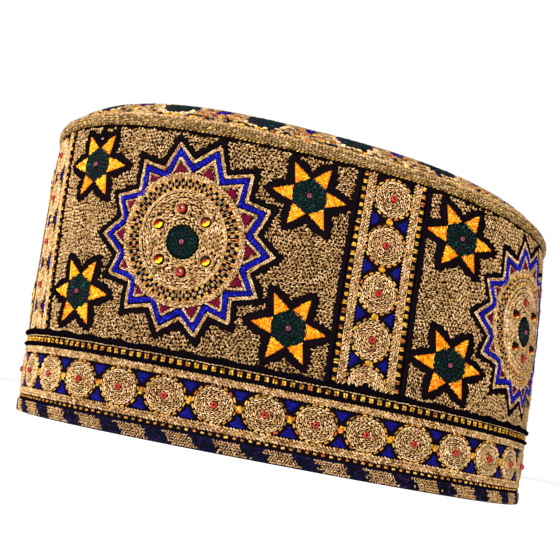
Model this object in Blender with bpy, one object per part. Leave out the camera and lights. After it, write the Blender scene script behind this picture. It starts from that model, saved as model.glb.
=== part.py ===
"""Balochi cap: a stiff embroidered cap with an upright wall and a low domed crown.

Every ring round the cap is placed in three cap coordinates: the arc along the wall's outline at the rim,
the height up the wall, and the distance out from the wall's outer face. cap_point turns them into space.
The cap stands on its rim at z = 0, and its front is towards -Y.
"""

import math

import bmesh
import bpy
from mathutils import Matrix, Vector

MM = 0.001

# The wall's plan at the rim is a superellipse, and the wall leans, flares and slopes a little towards the top
PLAN_X = 90.0 * MM
PLAN_Y = 87.9 * MM
PLAN_POWER = 2.5
WALL_HEIGHT = 90.0 * MM
FLARE = 0.028
LEAN = -4.4 * MM
TOP_SLOPE = -0.050
BELLY = 0.5 * MM
TUCK = 0.6 * MM
TUCK_POWER = 8
RIM_SHIFT = 3.0 * MM

# Cloth and the clearance between neighbouring pieces
CLOTH = 2.6 * MM
CROWN_CLOTH = 2.2 * MM
GAP = 0.3 * MM

# Rolled hem, edge roll and the two couched cords
HEM_HEIGHT = 4.4 * MM
HEM_PROUD = 0.4 * MM
HEM_ROUND = 1.0 * MM
ROLL_HEIGHT = 3.9 * MM
ROLL_PROUD = 0.7 * MM
ROLL_INSET = 3.2 * MM
CORDS = {
    # name: (height of the middle, height of the section, thickness)
    "upper_cord": (25.1 * MM, 1.5 * MM, 1.1 * MM),
    "lower_cord": (21.6 * MM, 1.2 * MM, 1.0 * MM),
}

# The crown rises from the edge roll to its middle as lift = DOME * (1 - rho ** DOME_POWER) ** 0.5, and what
# rises above its edge is lower towards +X by the tilt
DOME = 16.3 * MM
DOME_POWER = 5
DOME_TILT = -0.15
CROWN_START = ROLL_HEIGHT + 2 * GAP
CROWN_RINGS = 9
RING_SPREAD = 1.8

# Embroidered panels, and the stones sewn round the middle of each panel's medallion
PANELS = 5
MEDALLION_ARC = -32.2 * MM
MEDALLION_HEIGHT = 57.0 * MM
STONES = {
    # name: (angle clockwise from straight up in degrees, distance from the middle, kind)
    "top": (-8, 9.5 * MM, "red"),
    "upper_right": (43, 9.1 * MM, "amber"),
    "lower_right": (120, 9.0 * MM, "amber"),
    "bottom": (174, 9.0 * MM, "red"),
    "lower_left": (225, 8.8 * MM, "amber"),
    "upper_left": (297, 8.8 * MM, "amber"),
}
STONE_SHAPES = {
    # kind: (radius, height, sides, profile as shares of the radius and the height)
    "red": (1.25 * MM, 1.2 * MM, 12, ((1.0, 0.0), (1.0, 0.3), (0.85, 0.66), (0.5, 0.93))),
    "amber": (1.45 * MM, 1.2 * MM, 8, ((0.9, 0.0), (1.0, 0.35), (0.55, 1.0))),
}

# How finely the shapes are divided
SEGMENTS = 80
FINE = 1440
WALL_LEVELS = (0.0, 0.3, 0.6, 0.85, 1.0)
ROLL_CORNERS = 8
SHARP_ANGLE = math.radians(40)
SLOPE_STEP = 0.5 * MM


def clear_scene():
    for obj in list(bpy.data.objects):
        bpy.data.objects.remove(obj, do_unlink=True)


def make_material(name, colour, roughness, metallic=0.0):
    material = bpy.data.materials.new(name)
    material.use_nodes = True
    shader = material.node_tree.nodes["Principled BSDF"]
    shader.inputs["Base Color"].default_value = (*colour, 1.0)
    shader.inputs["Roughness"].default_value = roughness
    shader.inputs["Metallic"].default_value = metallic
    return material


def signed_power(value, power):
    return math.copysign(abs(value) ** power, value)


def superellipse(angle):
    """A point of the rim's plan; angle 0 is the front and it grows towards +X."""
    x = PLAN_X * signed_power(math.sin(angle), 2 / PLAN_POWER)
    y = -PLAN_Y * signed_power(math.cos(angle), 2 / PLAN_POWER)
    return Vector((x, y))


def plan_normal(point):
    """Unit normal of the superellipse, pointing out."""
    steepness = PLAN_POWER - 1
    nx = signed_power(point.x / PLAN_X, steepness) / PLAN_X
    ny = signed_power(point.y / PLAN_Y, steepness) / PLAN_Y
    return Vector((nx, ny)).normalized()


def arc_table():
    """Fine points of the plan, the arc length up to each, and the whole perimeter."""
    points = [superellipse(2 * math.pi * i / FINE) for i in range(FINE + 1)]
    arcs = [0.0]
    for before, after in zip(points, points[1:]):
        arcs.append(arcs[-1] + (after - before).length)
    return points, arcs, arcs[-1]


FINE_POINTS, FINE_ARCS, PERIMETER = arc_table()
RING_ARCS = [PERIMETER * i / SEGMENTS for i in range(SEGMENTS)]


def plan_at(arc):
    """The plan's point at an arc length from the front."""
    arc %= PERIMETER
    low, high = 0, FINE
    while high - low > 1:
        middle = (low + high) // 2
        if FINE_ARCS[middle] <= arc:
            low = middle
        else:
            high = middle
    share = (arc - FINE_ARCS[low]) / (FINE_ARCS[high] - FINE_ARCS[low])
    return FINE_POINTS[low].lerp(FINE_POINTS[high], share)


def wall_bulge(share):
    """How far the wall's face stands out at a share of its height: a shallow belly, and a tuck at the top."""
    return BELLY * math.sin(math.pi * min(share, 1)) - TUCK * min(share, 1) ** TUCK_POWER


def cap_point(arc, height, out=0.0):
    """Cap coordinates to space."""
    plan = plan_at(arc)
    share = height / WALL_HEIGHT
    spread = 1 + FLARE * share
    face = plan + plan_normal(plan) * (out + wall_bulge(share))
    slope = 1 + TOP_SLOPE * plan.x / PLAN_X
    return Vector((face.x * spread + LEAN * share + RIM_SHIFT, face.y * spread, height * slope))


def finish_mesh(name, shape, material):
    """Turns a bmesh into a named object with its faces pointing out."""
    bmesh.ops.recalc_face_normals(shape, faces=shape.faces[:])
    mesh = bpy.data.meshes.new(name)
    shape.to_mesh(mesh)
    shape.free()
    mesh.shade_smooth()
    mesh.set_sharp_from_angle(angle=SHARP_ANGLE)
    mesh.materials.append(material)
    obj = bpy.data.objects.new(name, mesh)
    bpy.context.scene.collection.objects.link(obj)
    return obj


def bridge(shape, loop_a, loop_b):
    """Quads between two loops of the same number of corners."""
    count = len(loop_a)
    for i in range(count):
        j = (i + 1) % count
        shape.faces.new((loop_a[i], loop_a[j], loop_b[j], loop_b[i]))


def ring(name, section, material):
    """A closed ring: the section, a list of (out, height) corners, carried round the cap."""
    shape = bmesh.new()
    loops = []
    for out, height in section:
        loops.append([shape.verts.new(cap_point(arc, height, out)) for arc in RING_ARCS])
    for loop, following in zip(loops, loops[1:] + loops[:1]):
        bridge(shape, loop, following)
    return finish_mesh(name, shape, material)


def hem_section():
    """Flat below, where the cap stands, and rounded at all four corners."""
    inner = -(CLOTH + HEM_PROUD)
    return [
        (inner + HEM_ROUND, 0.0),
        (HEM_PROUD - HEM_ROUND, 0.0),
        (HEM_PROUD, HEM_ROUND),
        (HEM_PROUD, HEM_HEIGHT - HEM_ROUND),
        (HEM_PROUD - HEM_ROUND, HEM_HEIGHT),
        (inner + HEM_ROUND, HEM_HEIGHT),
        (inner, HEM_HEIGHT - HEM_ROUND),
        (inner, HEM_ROUND),
    ]


def wall_section():
    """Outer face up, inner face down, with enough levels for the belly and the tuck."""
    foot = HEM_HEIGHT + GAP
    heights = [foot + (WALL_HEIGHT - foot) * level for level in WALL_LEVELS]
    outer = [(0.0, height) for height in heights]
    inner = [(-CLOTH, height) for height in reversed(heights)]
    return outer + inner


def roll_section():
    """A padded oval on the wall's top edge, its flats touching the oval's width and height."""
    middle_out = (ROLL_PROUD - ROLL_INSET) / 2
    stretch = 1 / math.cos(math.pi / ROLL_CORNERS)
    half_out = (ROLL_PROUD + ROLL_INSET) / 2 * stretch
    half_height = ROLL_HEIGHT / 2 * stretch
    middle = WALL_HEIGHT + GAP + ROLL_HEIGHT / 2
    corners = []
    for i in range(ROLL_CORNERS):
        angle = 2 * math.pi * (i + 0.5) / ROLL_CORNERS
        corners.append((middle_out + half_out * math.cos(angle), middle + half_height * math.sin(angle)))
    return corners


def cord_section(middle, tall, thick):
    """A half-round bead with its flat side to the wall: five corners of a half ellipse."""
    corners = []
    for i in range(5):
        angle = math.pi * (i / 4 - 0.5)
        corners.append((GAP + thick * math.cos(angle), middle + tall / 2 * math.sin(angle)))
    return corners


def crown_profile():
    """(radius share, lift above the wall's top) from the roll to the middle, for the outer and inner faces."""
    start = (1 - (CROWN_START / DOME) ** 2) ** (1 / DOME_POWER)
    outer = []
    for i in range(CROWN_RINGS):
        share = i / CROWN_RINGS
        rho = start * (1 - share**RING_SPREAD)
        outer.append((rho, DOME * math.sqrt(1 - rho**DOME_POWER)))
    inner = [(outer[0][0] - CROWN_CLOTH / PLAN_X, CROWN_START)]
    for rho, lift in outer[1:]:
        fall = DOME * DOME_POWER / 2 * rho ** (DOME_POWER - 1) / math.sqrt(1 - rho**DOME_POWER)
        tilt = math.atan(fall / PLAN_X)
        inward = CROWN_CLOTH * math.sin(tilt) / PLAN_X
        inner.append((rho - inward, lift - CROWN_CLOTH * math.cos(tilt)))
    return outer, inner


def crown_point(arc, rho, lift):
    """A point of the crown: the wall's top outline drawn in by rho and raised by lift, less so towards +X."""
    edge = cap_point(arc, WALL_HEIGHT)
    middle = Vector((RIM_SHIFT + LEAN, 0.0))
    flat = middle.lerp(edge.xy, rho)
    plane_x = (flat.x - middle.x) / (1 + FLARE)
    slope = 1 + TOP_SLOPE * plane_x / PLAN_X
    raised = CROWN_START + (lift - CROWN_START) * (1 + DOME_TILT * plane_x / PLAN_X)
    return Vector((flat.x, flat.y, (WALL_HEIGHT + raised) * slope))


def make_crown(material):
    """A domed shell, open below, with both faces closed at the middle."""
    outer, inner = crown_profile()
    shape = bmesh.new()

    def loop(rho, lift):
        return [shape.verts.new(crown_point(arc, rho, lift)) for arc in RING_ARCS]

    outer_loops = [loop(*row) for row in outer]
    inner_loops = [loop(*row) for row in inner]
    for loops, apex_lift in ((outer_loops, DOME), (inner_loops, DOME - CROWN_CLOTH)):
        for before, after in zip(loops, loops[1:]):
            bridge(shape, before, after)
        apex = shape.verts.new(crown_point(0.0, 0.0, apex_lift))
        last = loops[-1]
        for i in range(SEGMENTS):
            shape.faces.new((last[i], last[(i + 1) % SEGMENTS], apex))
    bridge(shape, outer_loops[0], inner_loops[0])
    return finish_mesh("crown", shape, material)


def wall_frame(arc, height):
    """Axes on the wall's face: along the arc, up the wall, and out of it, with the place as translation."""
    along = (cap_point(arc + SLOPE_STEP, height) - cap_point(arc - SLOPE_STEP, height)).normalized()
    rise = (cap_point(arc, height + SLOPE_STEP) - cap_point(arc, height - SLOPE_STEP)).normalized()
    out = along.cross(rise).normalized()
    up = out.cross(along)
    frame = Matrix((along, up, out)).transposed().to_4x4()
    frame.translation = cap_point(arc, height, GAP)
    return frame


def make_stone(name, kind, frame, material):
    """A turned stone with a flat back: a rounded cabochon, or a cut stone with a table."""
    radius, tall, sides, profile = STONE_SHAPES[kind]
    shape = bmesh.new()
    loops = []
    for across, up in profile:
        corners = []
        for i in range(sides):
            angle = 2 * math.pi * (i + 0.5) / sides
            corner = Vector((math.cos(angle), math.sin(angle), 0)) * radius * across
            corners.append(shape.verts.new(corner + Vector((0, 0, up * tall))))
        loops.append(corners)
    for before, after in zip(loops, loops[1:]):
        bridge(shape, before, after)
    shape.faces.new(loops[0])
    if kind == "red":
        apex = shape.verts.new((0, 0, tall))
        for i in range(sides):
            shape.faces.new((loops[-1][i], loops[-1][(i + 1) % sides], apex))
    else:
        shape.faces.new(loops[-1])
    stone = finish_mesh(name, shape, material)
    stone.matrix_world = frame
    return stone


def make_stones(materials):
    """Six stones round the middle of every panel's medallion."""
    for panel in range(PANELS):
        middle = MEDALLION_ARC + PERIMETER * panel / PANELS
        for place, (angle, distance, kind) in STONES.items():
            turn = math.radians(angle)
            arc = middle + distance * math.sin(turn)
            height = MEDALLION_HEIGHT + distance * math.cos(turn)
            name = f"stone_{panel + 1}_{place}"
            make_stone(name, kind, wall_frame(arc, height), materials[kind])


def main():
    clear_scene()
    gold_thread = make_material("gold_thread", (0.50, 0.33, 0.15), 0.7)
    navy_thread = make_material("navy_thread", (0.03, 0.03, 0.09), 0.75)
    black_cord = make_material("black_cord", (0.012, 0.008, 0.012), 0.6)
    crown_thread = make_material("crown_thread", (0.44, 0.29, 0.13), 0.75)
    stones = {
        "red": make_material("red_cabochon", (0.55, 0.03, 0.02), 0.15),
        "amber": make_material("amber_cut_stone", (0.75, 0.28, 0.02), 0.08),
    }
    ring("side_wall", wall_section(), gold_thread)
    ring("hem", hem_section(), navy_thread)
    ring("edge_roll", roll_section(), gold_thread)
    for name, sizes in CORDS.items():
        ring(name, cord_section(*sizes), black_cord)
    make_crown(crown_thread)
    make_stones(stones)


main()
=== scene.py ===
"""The finish of the Balochi cap: cloth, cords, stones, and every stitch as a small closed grain of thread.

Patterns are drawn flat, in millimetres, as sheets: arrays with one row for each stitch. A sheet is then
laid on one of the cap's surfaces, each of them a function of two coordinates: u runs along the outline from
the front towards +X, and v runs up the wall, round the roll or inwards over the crown. Meshes are made in
metres.
"""

import math

import bpy
import numpy as np
from mathutils import Matrix, Vector

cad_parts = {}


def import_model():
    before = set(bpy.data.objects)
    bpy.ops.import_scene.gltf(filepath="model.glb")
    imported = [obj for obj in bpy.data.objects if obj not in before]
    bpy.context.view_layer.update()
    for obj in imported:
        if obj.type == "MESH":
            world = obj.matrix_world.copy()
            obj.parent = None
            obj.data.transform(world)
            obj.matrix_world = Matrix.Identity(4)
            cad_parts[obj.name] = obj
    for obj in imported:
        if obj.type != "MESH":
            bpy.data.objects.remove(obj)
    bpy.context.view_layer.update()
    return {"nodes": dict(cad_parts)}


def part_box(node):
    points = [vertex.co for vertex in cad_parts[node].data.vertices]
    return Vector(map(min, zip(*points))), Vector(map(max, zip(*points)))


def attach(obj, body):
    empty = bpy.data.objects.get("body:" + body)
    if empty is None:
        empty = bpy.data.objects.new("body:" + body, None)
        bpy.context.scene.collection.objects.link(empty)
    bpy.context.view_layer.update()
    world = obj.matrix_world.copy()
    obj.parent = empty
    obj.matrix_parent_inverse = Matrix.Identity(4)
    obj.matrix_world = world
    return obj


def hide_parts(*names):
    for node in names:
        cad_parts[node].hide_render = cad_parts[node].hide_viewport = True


MM = 0.001
RNG = np.random.default_rng(5)

# The cap's form, as its solids have it
PLAN_X = 90.0
PLAN_Y = 87.9
PLAN_POWER = 2.5
WALL_HEIGHT = 90.0
FLARE = 0.028
LEAN = -4.4
TOP_SLOPE = -0.050
BELLY = 0.5
TUCK = 0.6
TUCK_POWER = 8
RIM_SHIFT = 3.0
CLOTH = 2.6
CROWN_CLOTH = 2.2
GAP = 0.3
HEM_HEIGHT = 4.4
HEM_PROUD = 0.4
HEM_ROUND = 1.0
ROLL_HEIGHT = 3.9
ROLL_PROUD = 0.7
ROLL_INSET = 3.2
DOME = 16.3
DOME_POWER = 5
DOME_TILT = -0.15
CROWN_START = ROLL_HEIGHT + 2 * GAP

# What repeats round the cap
PANELS = 5
ROSETTES = 40
ROSETTE_START = 12.9
ROSETTE_MIDDLE = 13.15

# Heights of the rows round the wall, as (lowest, highest) or a middle, and the pitch of squares and dots
HEM_LINE = (4.1, 4.9)
DOT_ROW = (4.5, 5.5)
LOW_BRAID = (5.7, 7.9)
ROSETTE_ROW = (8.1, 18.7)
HIGH_BRAID = (18.8, 20.9)
LOWER_CORD = (21.0, 22.2)
SQUARE_ROW = (22.1, 23.6)
LIGHT_ROW = 24.1
UPPER_CORD = (24.3, 25.9)
PANEL_FOOT = 25.9
TOP_LINE = (89.55, 90.05)
SQUARE_PITCH = 2.52
DOT_PITCH = 2.31

# The upright bands between the panels, measured from the band's own middle line
BAND_FOOT_ARC = 25.5
BAND_FOOT_WIDTH = 23.2
BAND_TOP_WIDTH = 22.3
# How far each band's middle line leans, and the power that it leans by: above one, it bends near the top
BAND_LEANS = ((1.7, 2.3), (0.8, 1), (0.4, 1), (-0.8, 1), (-3.4, 1))
BAND_LINE = 1.7
BAND_SQUARES = 9.25
BAND_SQUARE_PITCH = 2.47
BAND_LIGHT = 8.3
BAND_BRAID = 7.05
BAND_ROSETTES = (82.9, 68.3, 53.9, 40.1, 26.6)
BAND_KNOTS = (75.6, 61.1, 47.0, 33.4)

# How high a dark underlay is, and where it starts under the cloth's face
UNDERLAY = (0.12, -0.18)

# Medallions: centre from the panel's own origin
MEDALLION = (-32.1, 56.8)
RING_CENTRE = (-32.4, 57.65)
# The stones' ring: its middle's height, the room that each stone takes out of the disc, and the loop round it
STONES_MIDDLE = 57.0
STONE_ROOM = 2.75
STONE_LOOP = 2.15
# The zigzags, valley and tip by turns: (angle clockwise from straight up, black line's reach, blue line's)
ZIGZAG = (
    (0.0, 26.1, 21.9),
    (13.6, 33.3, 28.1),
    (25.3, 25.2, 21.6),
    (37.5, 31.8, 26.9),
    (48.3, 24.6, 21.0),
    (60.5, 29.9, 25.6),
    (74.4, 23.3, 19.9),
    (88.5, 29.1, 24.8),
    (104.0, 22.5, 19.1),
    (116.5, 28.3, 24.3),
    (129.9, 22.9, 19.4),
    (141.2, 28.7, 24.2),
    (151.4, 23.3, 19.8),
    (164.2, 29.2, 24.8),
    (173.5, 23.5, 19.9),
    (188.2, 28.3, 23.9),
    (200.1, 22.5, 18.8),
    (215.4, 28.2, 23.5),
    (227.5, 21.6, 18.4),
    (242.1, 27.3, 23.3),
    (253.2, 22.4, 19.4),
    (269.1, 28.6, 24.3),
    (282.8, 22.3, 19.6),
    (296.0, 27.2, 24.1),
    (310.2, 22.3, 19.3),
    (325.0, 29.6, 25.0),
    (337.1, 24.6, 20.5),
    (350.1, 31.8, 27.2),
)
ZIGZAG_BLACK = 1.48
ZIGZAG_BLUE = 1.5
DISC = (13.4, 14.75)
SQUARE_RING = (17.0, 18.1)
BRAID_RING = (18.7, 19.7)
RING_GROUPS = 46
GREEN_MIDDLE = 4.75
# The room outside the braid ring, and how far inside the blue line the pale chain and the gold fill lie
RING_ROOM = 0.3
CHAIN_INSET = 1.95
FILL_INSET = 2.6
TRIANGLE_DROP = 1.75
TRIANGLE_REACH = 2.95
TRIANGLE_HALF = 2.0
STONES = {
    # angle clockwise from straight up in degrees: distance from the middle
    -8: 9.5,
    43: 9.1,
    120: 9.0,
    174: 9.0,
    225: 8.8,
    297: 8.8,
}

# The crown's three rings of motifs: (way inwards from the roll, phase), and the motifs' sizes
CROWN_RINGS = ((8.0, 0.0), (20.8, 0.5), (33.5, 0.0))
CROWN_MOTIFS = 20
CROWN_DISC = 5.2
# Round each disc: the navy rim, and how far out the pale halo goes; then half of a ring's width inwards
CROWN_RIM = 0.9
CROWN_HALO = 2.1
CROWN_RING_HALF = 6.5
LOZENGE_HALF_WIDTH = 2.6
LOZENGE_HALF_HEIGHT = 4.6

# Stars: name: (way along the wall from the panel's middle, height, stretch along the wall)
PANEL_MIDDLE = -32.05
STARS = {
    "upper_left": (-34.8, 77.3, 1.10),
    "upper_right": (34.6, 77.6, 1.0),
    "lower_left": (-34.0, 38.3, 1.10),
    "lower_right": (33.7, 38.3, 1.0),
}
# The small black loop that only the front panel's upper left star has, between its top petals
BUD = (PANEL_MIDDLE - 34.3, 87.2)
BUD_RADIUS = 0.9
BUD_ROOM = 1.75
STAR_DISC = 5.6
STAR_TIP = 13.3
STAR_VALLEY = 7.7
STAR_BLUNT = 1.2
STAR_BULGE = 2.1
PETAL_TIP = 11.0
PETAL_BASE = 4.6
PETAL_HALF_WIDTH = 2.5
EDGE_ROOM = 0.1

# Thread: name: shades as (share, red, green, blue), as the eye sees them from 0 to 255
THREADS = {
    "gold": ((5, 216, 173, 119), (3, 192, 147, 94), (2, 242, 204, 158), (1, 178, 146, 76), (1, 146, 100, 58)),
    "pale_gold": ((4, 226, 188, 136), (2, 204, 163, 108), (1, 242, 208, 164), (1, 172, 140, 84)),
    "fill_gold": (
        (5, 204, 162, 108), (3, 180, 137, 85), (2, 232, 194, 146), (1, 162, 132, 66), (1, 128, 88, 50)
    ),
    # The roll's darker gold is painted shade, for the rows away from its top
    "shaded_roll_gold": (
        (4, 182, 145, 95), (3, 150, 116, 71), (1, 214, 180, 132), (1, 112, 82, 43), (1, 138, 112, 52)
    ),
    "edge_gold": ((3, 200, 156, 52), (2, 224, 188, 78), (2, 92, 62, 36), (1, 164, 72, 36), (3, 176, 142, 90)),
    "crown_gold": (
        (5, 176, 139, 91), (3, 146, 112, 68), (2, 206, 170, 122), (1, 140, 110, 50), (1, 92, 62, 38)
    ),
    "blue": ((5, 11, 12, 158), (3, 8, 8, 118), (1, 28, 44, 194)),
    "deep_blue": ((4, 10, 9, 106), (2, 8, 7, 74), (1, 20, 26, 132)),
    "maroon": ((4, 104, 5, 38), (2, 82, 4, 33), (1, 126, 11, 36)),
    "orange": ((4, 252, 190, 26), (3, 244, 156, 18), (2, 222, 100, 16), (2, 255, 214, 84)),
    "green": ((5, 8, 34, 29), (3, 5, 21, 20), (1, 26, 64, 54), (1, 18, 24, 46), (1, 46, 22, 32)),
    "yellow": ((4, 214, 156, 42), (2, 238, 196, 74), (2, 206, 112, 36), (2, 156, 120, 38), (1, 128, 70, 30)),
    "amber": ((4, 198, 134, 50), (3, 222, 174, 80), (1, 184, 92, 36), (2, 146, 108, 48)),
    "cream": ((3, 184, 148, 112), (1, 146, 132, 108), (1, 206, 152, 100)),
    "navy": ((4, 13, 11, 32), (2, 20, 18, 66), (1, 54, 28, 74), (2, 7, 6, 14)),
    "hem_gold": ((4, 196, 154, 102), (2, 168, 126, 74), (1, 220, 184, 136)),
    "red": ((3, 172, 40, 28), (1, 134, 24, 34), (1, 196, 92, 58)),
    "purple": ((2, 70, 30, 112), (1, 36, 30, 130)),
}
THREAD_NAMES = list(THREADS)

# Stones: (place on the ramp, colour), a cabochon's from its axis outwards, a cut stone's from dark to bright:
# painted shade on its upper left to painted light and reflection on its lower right
CABOCHON_STEPS = ((0.0, (48, 10, 8)), (0.42, (72, 14, 9)), (0.64, (184, 50, 22)), (1.0, (116, 17, 11)))
AMBER_SHADE_TO_LIGHT = ((0.42, (30, 8, 6)), (0.6, (132, 22, 8)), (0.74, (236, 110, 14)), (0.92, (255, 220, 40)))

# A stitch's usual size
LENGTH = 1.08
WIDTH = 0.46
TALL = 0.26
DEPTH = 0.12
RIDGE_SHARE = 0.62
LINK = 1.0
APART = 0.24
SPLAY = 0.30
ROW = 1.04
DISC_CHAIN = {"apart": 0.33, "splay": 0.34, "length": 1.55, "width": 0.56, "tall": 0.42, "lift": 0.1}
COARSE = {"apart": 0.27, "splay": 0.3, "length": 1.32, "width": 0.45, "tall": 0.38, "lift": 0.1}

# The stage's light: the surround's strength as a light, and the floor's own glow
SURROUND_LIGHT = 0.4
FLOOR_GLOW = 0.54

# Columns of a sheet
X, Y, TURN, LONG, WIDE, HIGH, LIFT, THREAD = range(8)


def linear(colour):
    """From an eye colour, 0 to 255, to the light that it stands for, 0 to 1."""
    share = np.asarray(colour, float) / 255
    return np.where(share <= 0.04045, share / 12.92, ((share + 0.055) / 1.055) ** 2.4)


# Surfaces


def signed_power(value, power):
    return np.sign(value) * np.abs(value) ** power


def plan_table(steps=1440):
    """The rim's superellipse, x as PLAN_X sin to 2/n and y as -PLAN_Y cos to 2/n, and the arc to each."""
    angle = np.linspace(0, 2 * np.pi, steps + 1)
    x = PLAN_X * signed_power(np.sin(angle), 2 / PLAN_POWER)
    y = -PLAN_Y * signed_power(np.cos(angle), 2 / PLAN_POWER)
    arcs = np.concatenate([[0.0], np.cumsum(np.hypot(np.diff(x), np.diff(y)))])
    return x, y, arcs


PLAN_TABLE = plan_table()
PERIMETER = PLAN_TABLE[2][-1]
PANEL_PITCH = PERIMETER / PANELS


def unit(vectors):
    return vectors / np.linalg.norm(vectors, axis=-1, keepdims=True)


def cap_point(arc, height, out=0.0):
    """The plan's point moved out along its normal, spread by the flare, leaned, and raised on the slope."""
    xs, ys, arcs = PLAN_TABLE
    arc, height, out = np.broadcast_arrays(np.mod(arc, PERIMETER), height, out)
    x = np.interp(arc, arcs, xs)
    y = np.interp(arc, arcs, ys)
    steepness = PLAN_POWER - 1
    normal = unit(
        np.stack(
            [
                signed_power(x / PLAN_X, steepness) / PLAN_X,
                signed_power(y / PLAN_Y, steepness) / PLAN_Y,
            ],
            axis=-1,
        )
    )
    share = height / WALL_HEIGHT
    full = np.minimum(share, 1)
    offset = out + BELLY * np.sin(np.pi * full) - TUCK * np.maximum(full, 0) ** TUCK_POWER
    spread = 1 + FLARE * share
    slope = 1 + TOP_SLOPE * x / PLAN_X
    return np.stack(
        [
            (x + normal[..., 0] * offset) * spread + LEAN * share + RIM_SHIFT,
            (y + normal[..., 1] * offset) * spread,
            height * slope,
        ],
        axis=-1,
    )


def wall(u, v):
    """The wall's outer face."""
    return cap_point(u, v)


def hem(u, v):
    """The hem's outer face: it stands out in the middle of its height and rounds in at both edges."""
    edge = np.abs(2 * v / HEM_HEIGHT - 1)
    return cap_point(u, v, HEM_PROUD - HEM_ROUND * np.minimum(edge, 1.2) ** 6)


def roll(u, v):
    """The edge roll: v runs round its section from underneath, over the outside, to the top and inwards."""
    radius = ROLL_HEIGHT / 2
    angle = v / radius - np.pi / 2
    middle = (ROLL_PROUD - ROLL_INSET) / 2
    return cap_point(u, WALL_HEIGHT + GAP + radius + radius * np.sin(angle), middle + radius * np.cos(angle))


def crown_table():
    """Shares of the radius from the roll to the middle, and the way inwards over the dome to each."""
    start = (1 - (CROWN_START / DOME) ** 2) ** (1 / DOME_POWER)
    rho = start * (1 - np.linspace(0, 1, 400) ** 1.8)
    lift = DOME * np.sqrt(1 - rho**DOME_POWER)
    radius = rho * PLAN_X * (1 + FLARE)
    way = np.concatenate([[0.0], np.cumsum(np.hypot(np.diff(radius), np.diff(lift)))])
    return rho, way


CROWN_RHO, CROWN_WAY = crown_table()
CROWN_REACH = CROWN_WAY[-1]


def crown_share(v):
    """The share of the crown's radius that is left at a way v inwards from its edge."""
    return np.interp(v, CROWN_WAY, CROWN_RHO)


def crown_point(arc, rho, lift):
    """The wall's top outline drawn in to a share of its radius and raised, less so towards +X."""
    edge = cap_point(arc, WALL_HEIGHT)
    middle_x = RIM_SHIFT + LEAN
    x = middle_x + (edge[..., 0] - middle_x) * rho
    y = edge[..., 1] * rho
    plan_share = (x - middle_x) / (1 + FLARE) / PLAN_X
    raised_by = CROWN_START + (lift - CROWN_START) * (1 + DOME_TILT * plan_share)
    return np.stack([x, y, (WALL_HEIGHT + raised_by) * (1 + TOP_SLOPE * plan_share)], axis=-1)


def crown(u, v):
    """The crown's outer face, v millimetres inwards from the edge roll."""
    rho = crown_share(v)
    return crown_point(u, rho, DOME * np.sqrt(1 - rho**DOME_POWER))


def frames(surface, u, v, step=0.25):
    """The place, two unit tangents at right angles and the normal, from differences along u and v."""
    across = surface(u + step, v) - surface(u - step, v)
    upwards = surface(u, v + step) - surface(u, v - step)
    along = unit(across)
    out = unit(np.cross(across, upwards))
    return surface(u, v), along, np.cross(out, along), out


def raised(surface, u, v, out):
    """Points that stand a height out from a surface."""
    place, _, _, normal = frames(surface, u, v)
    return place + normal * np.asarray(out)[..., None]


# Sheets of stitches


def stitches(x, y, turn, thread, length=LENGTH, width=WIDTH, tall=TALL, lift=0.0):
    """A sheet with one row for each stitch, from its place, its turn from the u direction, and its sizes."""
    columns = np.broadcast_arrays(
        np.asarray(x, float), y, turn, length, width, tall, lift, float(THREAD_NAMES.index(thread))
    )
    return np.stack([column.ravel() for column in columns], axis=-1)


def walk(path, pitch, closed=False):
    """Places at an even pitch along a path, and the path's direction at each."""
    if closed:
        path = np.vstack([path, path[:1]])
    legs = np.diff(path, axis=0)
    lengths = np.hypot(legs[:, 0], legs[:, 1])
    ends = np.concatenate([[0.0], np.cumsum(lengths)])
    count = max(1, round(ends[-1] / pitch))
    at = (np.arange(count) + 0.5) * ends[-1] / count
    leg = np.clip(np.searchsorted(ends, at, side="right") - 1, 0, len(lengths) - 1)
    place = path[leg] + legs[leg] * ((at - ends[leg]) / lengths[leg])[:, None]
    return place[:, 0], place[:, 1], np.arctan2(legs[leg, 1], legs[leg, 0])


def beside(x, y, turn, sideways):
    """Places a step to the left of a direction."""
    return x - np.sin(turn) * sideways, y + np.cos(turn) * sideways


def chain(path, thread, closed=False, pitch=LINK, apart=APART, splay=SPLAY, **sizes):
    """Chain stitch: at every link two strands lie either side of the path and lean apart like a V."""
    x, y, turn = walk(path, pitch, closed)
    rows = []
    for side in (1, -1):
        rows.append(stitches(*beside(x, y, turn, side * apart), turn + side * splay, thread, **sizes))
    return np.concatenate(rows)


def ellipse(centre, half_width, half_height, count=72):
    angle = np.linspace(0, 2 * np.pi, count, endpoint=False)
    x = centre[0] + half_width * np.sin(angle)
    y = centre[1] + half_height * np.cos(angle)
    return np.stack([x, y], axis=-1)


def spiral(half_width, half_height, row=ROW, inner=0.9):
    """A path that winds inwards from an ellipse, one row for each turn."""
    turns = (max(half_width, half_height) - row / 2 - inner) / row
    angle = np.linspace(0, 2 * np.pi * turns, max(12, int(turns * 36)))
    shrink = 1 - (row / 2 + row * angle / (2 * np.pi)) / max(half_width, half_height)
    return np.stack([half_width * shrink * np.sin(angle), half_height * shrink * np.cos(angle)], axis=-1)


def distance(path, x, y):
    """The least distance from each place to a closed path."""
    start = path
    leg = np.roll(path, -1, axis=0) - start
    dx = x[:, None] - start[:, 0]
    dy = y[:, None] - start[:, 1]
    share = np.clip((dx * leg[:, 0] + dy * leg[:, 1]) / (leg**2).sum(axis=1), 0, 1)
    return np.hypot(dx - leg[:, 0] * share, dy - leg[:, 1] * share).min(axis=1)


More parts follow.
